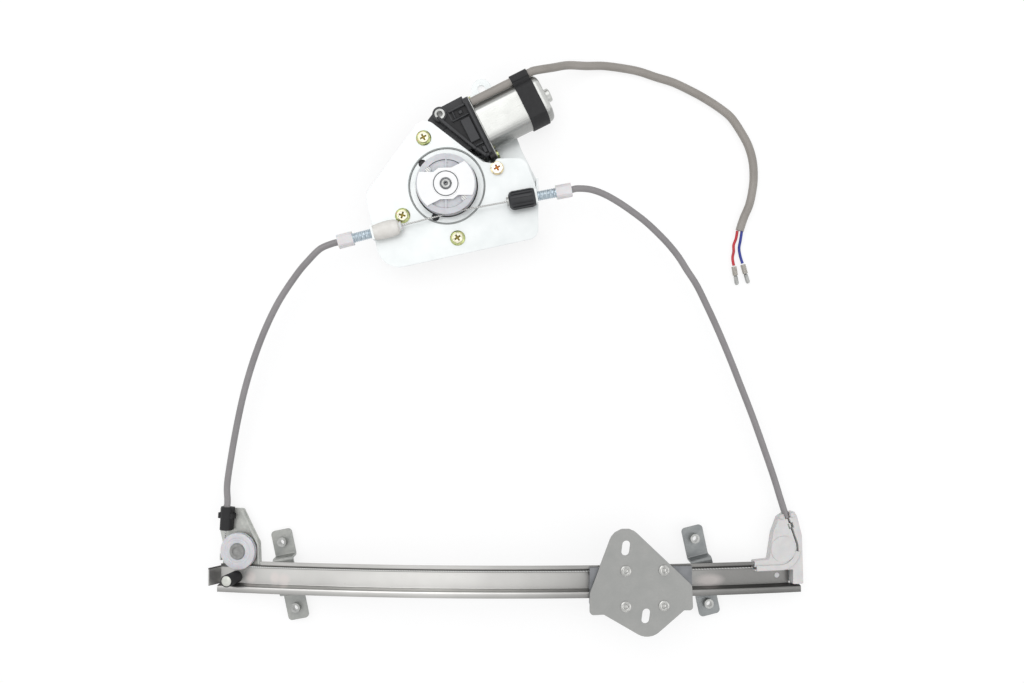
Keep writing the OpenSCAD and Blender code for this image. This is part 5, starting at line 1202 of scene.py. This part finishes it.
@dataclass
class HousingRelief:
    """The raised walls on the gear housing's face and dark sheets of painted shade in its deep recesses, drawn
    along the motor's axis and across it.
    """

    worm: Point = (-68.29, 178.10, 0.0)
    lean_deg: float = 26.7
    face_z: float = 36.2
    pocket_t: float = 0.12
    chamfer: float = 0.5
    bush_at: tuple[float, float] = (23.0, 25.4)
    bush_r: float = 4.6
    collar_r: float = 6.6
    collar_z: tuple[float, float] = (26.0, 37.8)
    walls: tuple[tuple[tuple[tuple[float, float], ...], float], ...] = (
        (((46.8, -25.8), (49.6, -25.8), (49.6, 24.0), (46.8, 24.0)), 3.4),
        (((36.5, -10.4), (45.6, -10.4), (45.6, 12.0), (36.5, 12.0)), 2.8),
        (((18.6, 24.1), (37.2, -16.8), (39.2, -16.0), (21.0, 24.1)), 2.4),
        (((37.2, -16.8), (42.8, -26.1), (44.6, -25.0), (39.2, -16.0)), 2.4),
        (((30.5, 22.4), (46.8, 22.4), (46.8, 24.1), (30.5, 24.1)), 2.4),
        (((29.8, 13.6), (46.8, 13.6), (46.8, 15.2), (29.8, 15.2)), 2.0),
        (((33.0, 15.2), (34.6, 15.2), (34.6, 22.4), (33.0, 22.4)), 2.0),
        (((38.4, 17.2), (42.2, 17.2), (42.2, 20.6), (38.4, 20.6)), 1.6),
        (((38.6, -15.2), (46.8, -15.2), (46.8, -13.4), (38.6, -13.4)), 2.2),
        (((43.2, -23.6), (46.8, -23.6), (46.8, -17.0), (43.2, -17.0)), 1.8))
    # Outlines of the dark sheets that paint the shade in the housing's recesses.
    pocket_shade_outlines: tuple[tuple[tuple[float, float], ...], ...] = (
        ((21.4, 22.2), (37.6, -12.9), (46.6, -12.9), (46.6, 13.4), (29.6, 13.4), (29.6, 22.2)),
        ((30.8, 15.4), (46.6, 15.4), (46.6, 22.2), (30.8, 22.2)),
        ((39.4, -15.4), (44.6, -24.6), (46.6, -24.6), (46.6, -15.4)))

    def prism(self, draft: MeshDraft, frame_of: Matrix, corners: Sequence[tuple[float, float]], low: float,
              high: float, chamfer: float) -> None:
        """Adds one upright prism, its top edges chamfered.

        Args:
            draft: The draft that it joins.
            frame_of: The motor's frame.
            corners: Its corners along the axis and across it.
            low: The height of its foot.
            high: The height of its top.
            chamfer: The size of the chamfer.
        """
        middle = Vector((sum(c[0] for c in corners), sum(c[1] for c in corners))) / len(corners)
        rings = []
        for z, inset in ((low, 0.0), (high - chamfer, 0.0), (high, chamfer)):
            ring = []
            for corner in corners:
                inward = middle - Vector(corner)
                step = Vector((math.copysign(inset, inward.x), math.copysign(inset, inward.y)))
                ring.append(frame_of @ Vector((corner[0] + step.x, corner[1] + step.y, z)))
            rings.append(ring)
        draft.loft(rings)

    def build(self) -> None:
        """Raises the walls and the bush's collar, and lays dark sheets of painted shade where the housing is
        recessed.
        """
        frame_of = Matrix.Translation(Vector(self.worm)) @ Matrix.Rotation(math.radians(self.lean_deg), 4, "Z")
        relief = MeshDraft()
        for corners, height in self.walls:
            self.prism(relief, frame_of, corners, self.face_z - 0.1, self.face_z + height, self.chamfer)
        spot = frame_of @ Vector((*self.bush_at, 0.0))
        low, high = self.collar_z
        profile = ((self.bush_r + 0.1, low), (self.collar_r, low), (self.collar_r, high - 0.6),
                   (self.collar_r - 0.6, high), (self.bush_r + 0.1, high))
        relief.loft([[spot + Vector((r * math.cos(TURN * k / 40), r * math.sin(TURN * k / 40), z))
                      for k in range(40)] for r, z in profile], around=True)
        keep(relief.piece("housing_relief", BLACK_NYLON, 30.0), Body.FRAME, "black_plastic")
        # Dark sheets laid just above the face: painted shade in the recesses.
        pocket_shade_sheets = MeshDraft()
        for corners in self.pocket_shade_outlines:
            self.prism(pocket_shade_sheets, frame_of, corners, self.face_z - 0.1, self.face_z + self.pocket_t, 0.05)
        keep(pocket_shade_sheets.piece("housing_pockets", POCKET_SHADE_AND_FITTING_BLACK, 30.0), Body.FRAME, "black_plastic")


@dataclass
class DrumRings:
    """Dark rings on the drum and the plate: painted shade in the groove of the cap's hub, dark rings on the shaft's
    end, and painted shade in the plate's pressed step.
    """

    drum: Point = (-53.2381, 148.175, 0.0)
    # Painted shade ring in the groove of the cap's hub.
    groove: tuple[float, float, float, float] = (10.45, 11.25, 47.0, 47.2)
    shaft_rim: tuple[float, float, float, float] = (3.7, 4.9, 48.35, 48.75)
    shaft_core: tuple[float, float, float, float] = (1.1, 2.1, 48.35, 48.65)
    # Painted shade ring in the corner of the plate's pressed step.
    step: tuple[float, float, float, float] = (33.1, 34.7, 29.1, 30.45)
    web: tuple[float, float, float, float] = (11.5, 21.4, 42.6, 43.4)

    def ring(self, draft: MeshDraft, size: tuple[float, float, float, float]) -> None:
        """Adds one ring with softened top edges.

        Args:
            draft: The draft that it joins.
            size: Its inner and outer radius, and its lowest and highest point.
        """
        inner, outer, low, high = size
        soft = min(outer - inner, high - low) * 0.3
        profile = ((inner, low), (outer, low), (outer, high - soft), (outer - soft, high),
                   (inner + soft, high), (inner, high - soft))
        draft.loft([[Vector(self.drum) + Vector((r * math.cos(TURN * k / 96), r * math.sin(TURN * k / 96), z))
                     for k in range(96)] for r, z in profile], around=True)

    def build(self) -> None:
        """Makes the painted shade ring in the hub's groove, the shaft's dark rings and the web, which turn with the
        drum, and the painted shade ring of the step, which stays with the plate.
        """
        turning = MeshDraft()
        for size in (self.groove, self.shaft_rim, self.shaft_core):
            self.ring(turning, size)
        keep(turning.piece("hub_rings", GROOVE_SHADE_AND_RING_STEEL, 40.0), Body.DRUM, "dull_steel")
        inside = MeshDraft()
        self.ring(inside, self.web)
        keep(inside.piece("drum_web", GREY_ACETAL, 40.0), Body.DRUM, "grey_plastic")
        still = MeshDraft()
        self.ring(still, self.step)
        keep(still.piece("step_ring", STEP_SHADE_ZINC, 40.0), Body.FRAME, "zinc_plate")


@dataclass
class GuideWalls:
    """The raised wall that covers the cable's turn on the end guide, and the two horns beside the conduit."""

    rail: Point = (3.36189, -204.62451, -1209.0)
    radius: float = 1250.0
    turn_deg: float = 11.3216
    middle_y: float = 25.1
    bend_r: float = 16.5
    half: float = 2.6
    foot: float = 0.2
    top: float = 2.0
    soft: float = 0.5
    arm: float = 23.5
    last_deg: float = -8.0
    horn_r: float = 2.4
    horns: tuple[tuple[float, float], ...] = ((0.4, 54.4), (11.2, 55.9))

    def place(self) -> Matrix:
        """Gives the guide's frame on the bowed rail."""
        return (Matrix.Translation(Vector(self.rail)) @ Matrix.Rotation(math.radians(self.turn_deg), 4, "Y")
                @ Matrix.Translation(Vector((0.0, 0.0, self.radius))))

    def section(self, spot: Vector, outward: Vector) -> list[Vector]:
        """Gives the wall's section at a place.

        Args:
            spot: The place, at the guide's own height.
            outward: The way across the wall.

        Returns:
            The six corners.
        """
        shape = ((-self.half, self.foot), (self.half, self.foot), (self.half, self.top - self.soft),
                 (self.half - self.soft, self.top), (self.soft - self.half, self.top),
                 (-self.half, self.top - self.soft))
        return [spot + outward * across + Vector((0, 0, z)) for across, z in shape]

    def build(self) -> None:
        """Runs the wall along the arm and round the bend, and sets the horns."""
        frame_of = self.place()
        rings = [self.section(Vector((x, self.middle_y - self.bend_r, 0)), Vector((0, -1, 0)))
                 for x in (-self.arm, -self.arm * 0.5)]
        for k in range(15):
            angle = math.radians(-90 + (self.last_deg + 90) * k / 14)
            out = Vector((math.cos(angle), math.sin(angle), 0))
            rings.append(self.section(Vector((0, self.middle_y, 0)) + out * self.bend_r, out))
        draft = MeshDraft()
        draft.loft([[frame_of @ corner for corner in ring] for ring in rings])
        for x, y in self.horns:
            draft.turn(((self.horn_r, self.foot - 1.5), (self.horn_r, self.top - 0.6),
                        (self.horn_r - 0.4, self.top + 0.2), (self.horn_r - 1.2, self.top + 0.6),
                        (0.2, self.top + 0.7)), 28, frame_of @ Matrix.Translation(Vector((x, y, 0))))
        keep(draft.piece("guide_walls", MILKY_ACETAL, 40.0), Body.FRAME, "white_plastic")


@dataclass
class RailFrame:
    """A local frame on the bowed rail: X along it, Z out of its face."""

    apex: Point = (3.36189, -204.62451, -1209.0)
    radius: float = 1250.0

    def at(self, along: float, x: float, y: float, z: float) -> Matrix:
        """Gives the frame at a place of the rail, moved by a local offset.

        Args:
            along: The place, as an arc length from the top of the bow in millimetres.
            x: The offset along the rail.
            y: The offset across it.
            z: The offset from the face of its flanges.

        Returns:
            The frame's matrix in millimetres.
        """
        return (Matrix.Translation(Vector(self.apex)) @ Matrix.Rotation(along / self.radius, 4, "Y")
                @ Matrix.Translation(Vector((x, y, self.radius + z))))


@dataclass
class LiftRivets:
    """The four rivets that hold the glass plate to its slider."""

    head_r: float = 5.0
    shank_r: float = 2.6
    at: float = 116.5
    plate_top: float = 5.2
    middle: tuple[float, float] = (2.976, -5.626)
    apart: tuple[float, float] = (34.4, 31.6)

    def build(self) -> None:
        """Turns one rivet, its rim rolled over a bright dimple, and sets it on the four holes."""
        spots = [Vector((side * self.apart[0] / 2, end * self.apart[1] / 2, 0.0))
                 for side in (-1, 1) for end in (-1, 1)]
        draft = MeshDraft()
        draft.turn(((self.shank_r, -2.6), (self.shank_r, -0.05), (self.head_r - 0.15, 0.0),
                    (self.head_r, 0.3), (self.head_r - 0.1, 0.7), (self.head_r - 0.7, 1.2),
                    (self.head_r - 1.4, 1.38), (2.6, 1.3), (2.15, 0.95), (1.9, 0.4), (1.5, 0.45),
                    (0.9, 0.7), (0.25, 0.78)), 40, Matrix.Identity(4))
        rivet = draft.piece("rivet_form", RIVET_STEEL)
        host = MeshDraft(spots, []).piece("lift_rivet_set", RIVET_STEEL)
        settle(host, repeat_tree(), {"Fastener": rivet, "Finish": RIVET_STEEL.material()})
        bpy.data.objects.remove(rivet)
        place = RailFrame().at(self.at, *self.middle, self.plate_top)
        host.data.transform(Matrix.Scale(MM, 4) @ place @ Matrix.Scale(1 / MM, 4))
        keep(host, Body.CARRIER, "dull_steel", "lift_rivets")


@dataclass
class Bumper:
    """The rubber bumper, whose lip holds the pale head of its stud."""

    at: float = -253.4
    across: float = -1.6
    web_top: float = -8.0
    height: float = 21.0
    outer_r: float = 5.5
    lip: float = 0.75
    head_t: float = 1.2
    stud_r: float = 2.0

    def build(self) -> None:
        """Turns the rubber with its lip, and the stud with its head inside the lip."""
        place = RailFrame().at(self.at, 0.0, self.across, self.web_top)
        inner, top = self.outer_r - self.lip, self.height + self.head_t
        rubber = MeshDraft()
        profile = ((self.stud_r, 0.0), (self.outer_r, 0.0), (self.outer_r, top - 0.3), (self.outer_r - 0.25, top),
                   (inner + 0.1, top), (inner, top - 0.2), (inner, self.height), (self.stud_r, self.height))
        rubber.loft([[place @ Vector((r * math.cos(TURN * k / 48), r * math.sin(TURN * k / 48), z))
                      for k in range(48)] for r, z in profile], around=True)
        keep(rubber.piece("bumper_cup", RUBBER, 40.0), Body.FRAME, "rubber", "bumper_rubber")
        stud = MeshDraft()
        stud.turn(((1.0, -1.9), (3.2, -1.9), (3.2, -1.3), (self.stud_r, -1.2), (self.stud_r, self.height - 0.02),
                   (inner - 0.02, self.height + 0.02), (inner - 0.02, top - 0.45), (inner - 0.4, top - 0.15),
                   (0.3, top - 0.02)), 40, place)
        keep(stud.piece("bumper_head", STUD_ZINC, 40.0), Body.FRAME, "galvanised", "bumper_stud")


@dataclass
class PulleyWheel:
    """The grooved pulley at the rail's left end."""

    rim_r: float = 16.7
    root_r: float = 13.1
    thick: float = 5.6
    bore_r: float = 4.05
    at: float = -249.7
    sides: int = 80

    def build(self) -> None:
        """Turns the wheel with rounded rims, a cable groove, a hub ring and a web set back."""
        low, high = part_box("pulley")
        middle = Vector(((low[i] + high[i]) / 2 / MM for i in range(3)))
        place = Matrix.Translation(middle) @ Matrix.Rotation(self.at / RailFrame.radius, 4, "Y")
        h, r = self.thick / 2, self.rim_r
        profile = ((self.bore_r, -h), (r - 0.6, -h), (r - 0.1, -h + 0.3), (r, -h + 0.8), (r - 0.3, -1.2),
                   (self.root_r + 0.5, -0.7), (self.root_r, 0.0), (self.root_r + 0.5, 0.7), (r - 0.3, 1.2),
                   (r, h - 0.8), (r - 0.1, h - 0.3), (r - 0.6, h), (12.4, h), (12.0, h - 0.5),
                   (10.2, h - 0.5), (9.8, h), (self.bore_r, h))
        draft = MeshDraft()
        draft.loft([[place @ Vector((q * math.cos(TURN * k / self.sides), q * math.sin(TURN * k / self.sides), z))
                     for k in range(self.sides)] for q, z in profile], around=True)
        keep(draft.piece("pulley_form", COOL_ACETAL, 40.0), Body.PULLEY, "white_plastic", "pulley")


def dress_nodes() -> None:
    """Gives every node of the frame its finish."""
    for name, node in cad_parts.items():
        finish = NODE_FINISHES[name]
        for slot in node.material_slots:
            slot.material = finish.material()
        LOG.info("%s has the finish %s", name, finish.name)


def main() -> None:
    """Builds the stage, the cords and every sub-assembly in order."""
    logging.basicConfig(level=logging.INFO, format="%(name)s: %(message)s")
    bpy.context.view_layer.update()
    Studio().build()
    MotorLead().build()
    Conduits().build()
    Adjusters().build()
    PlateScrews().build()
    MotorCan().build()
    HousingRelief().build()
    DrumRings().build()
    GuideWalls().build()
    LiftRivets().build()
    PulleyWheel().build()
    Bumper().build()
    dress_nodes()


if __name__ == "__main__":
    main()
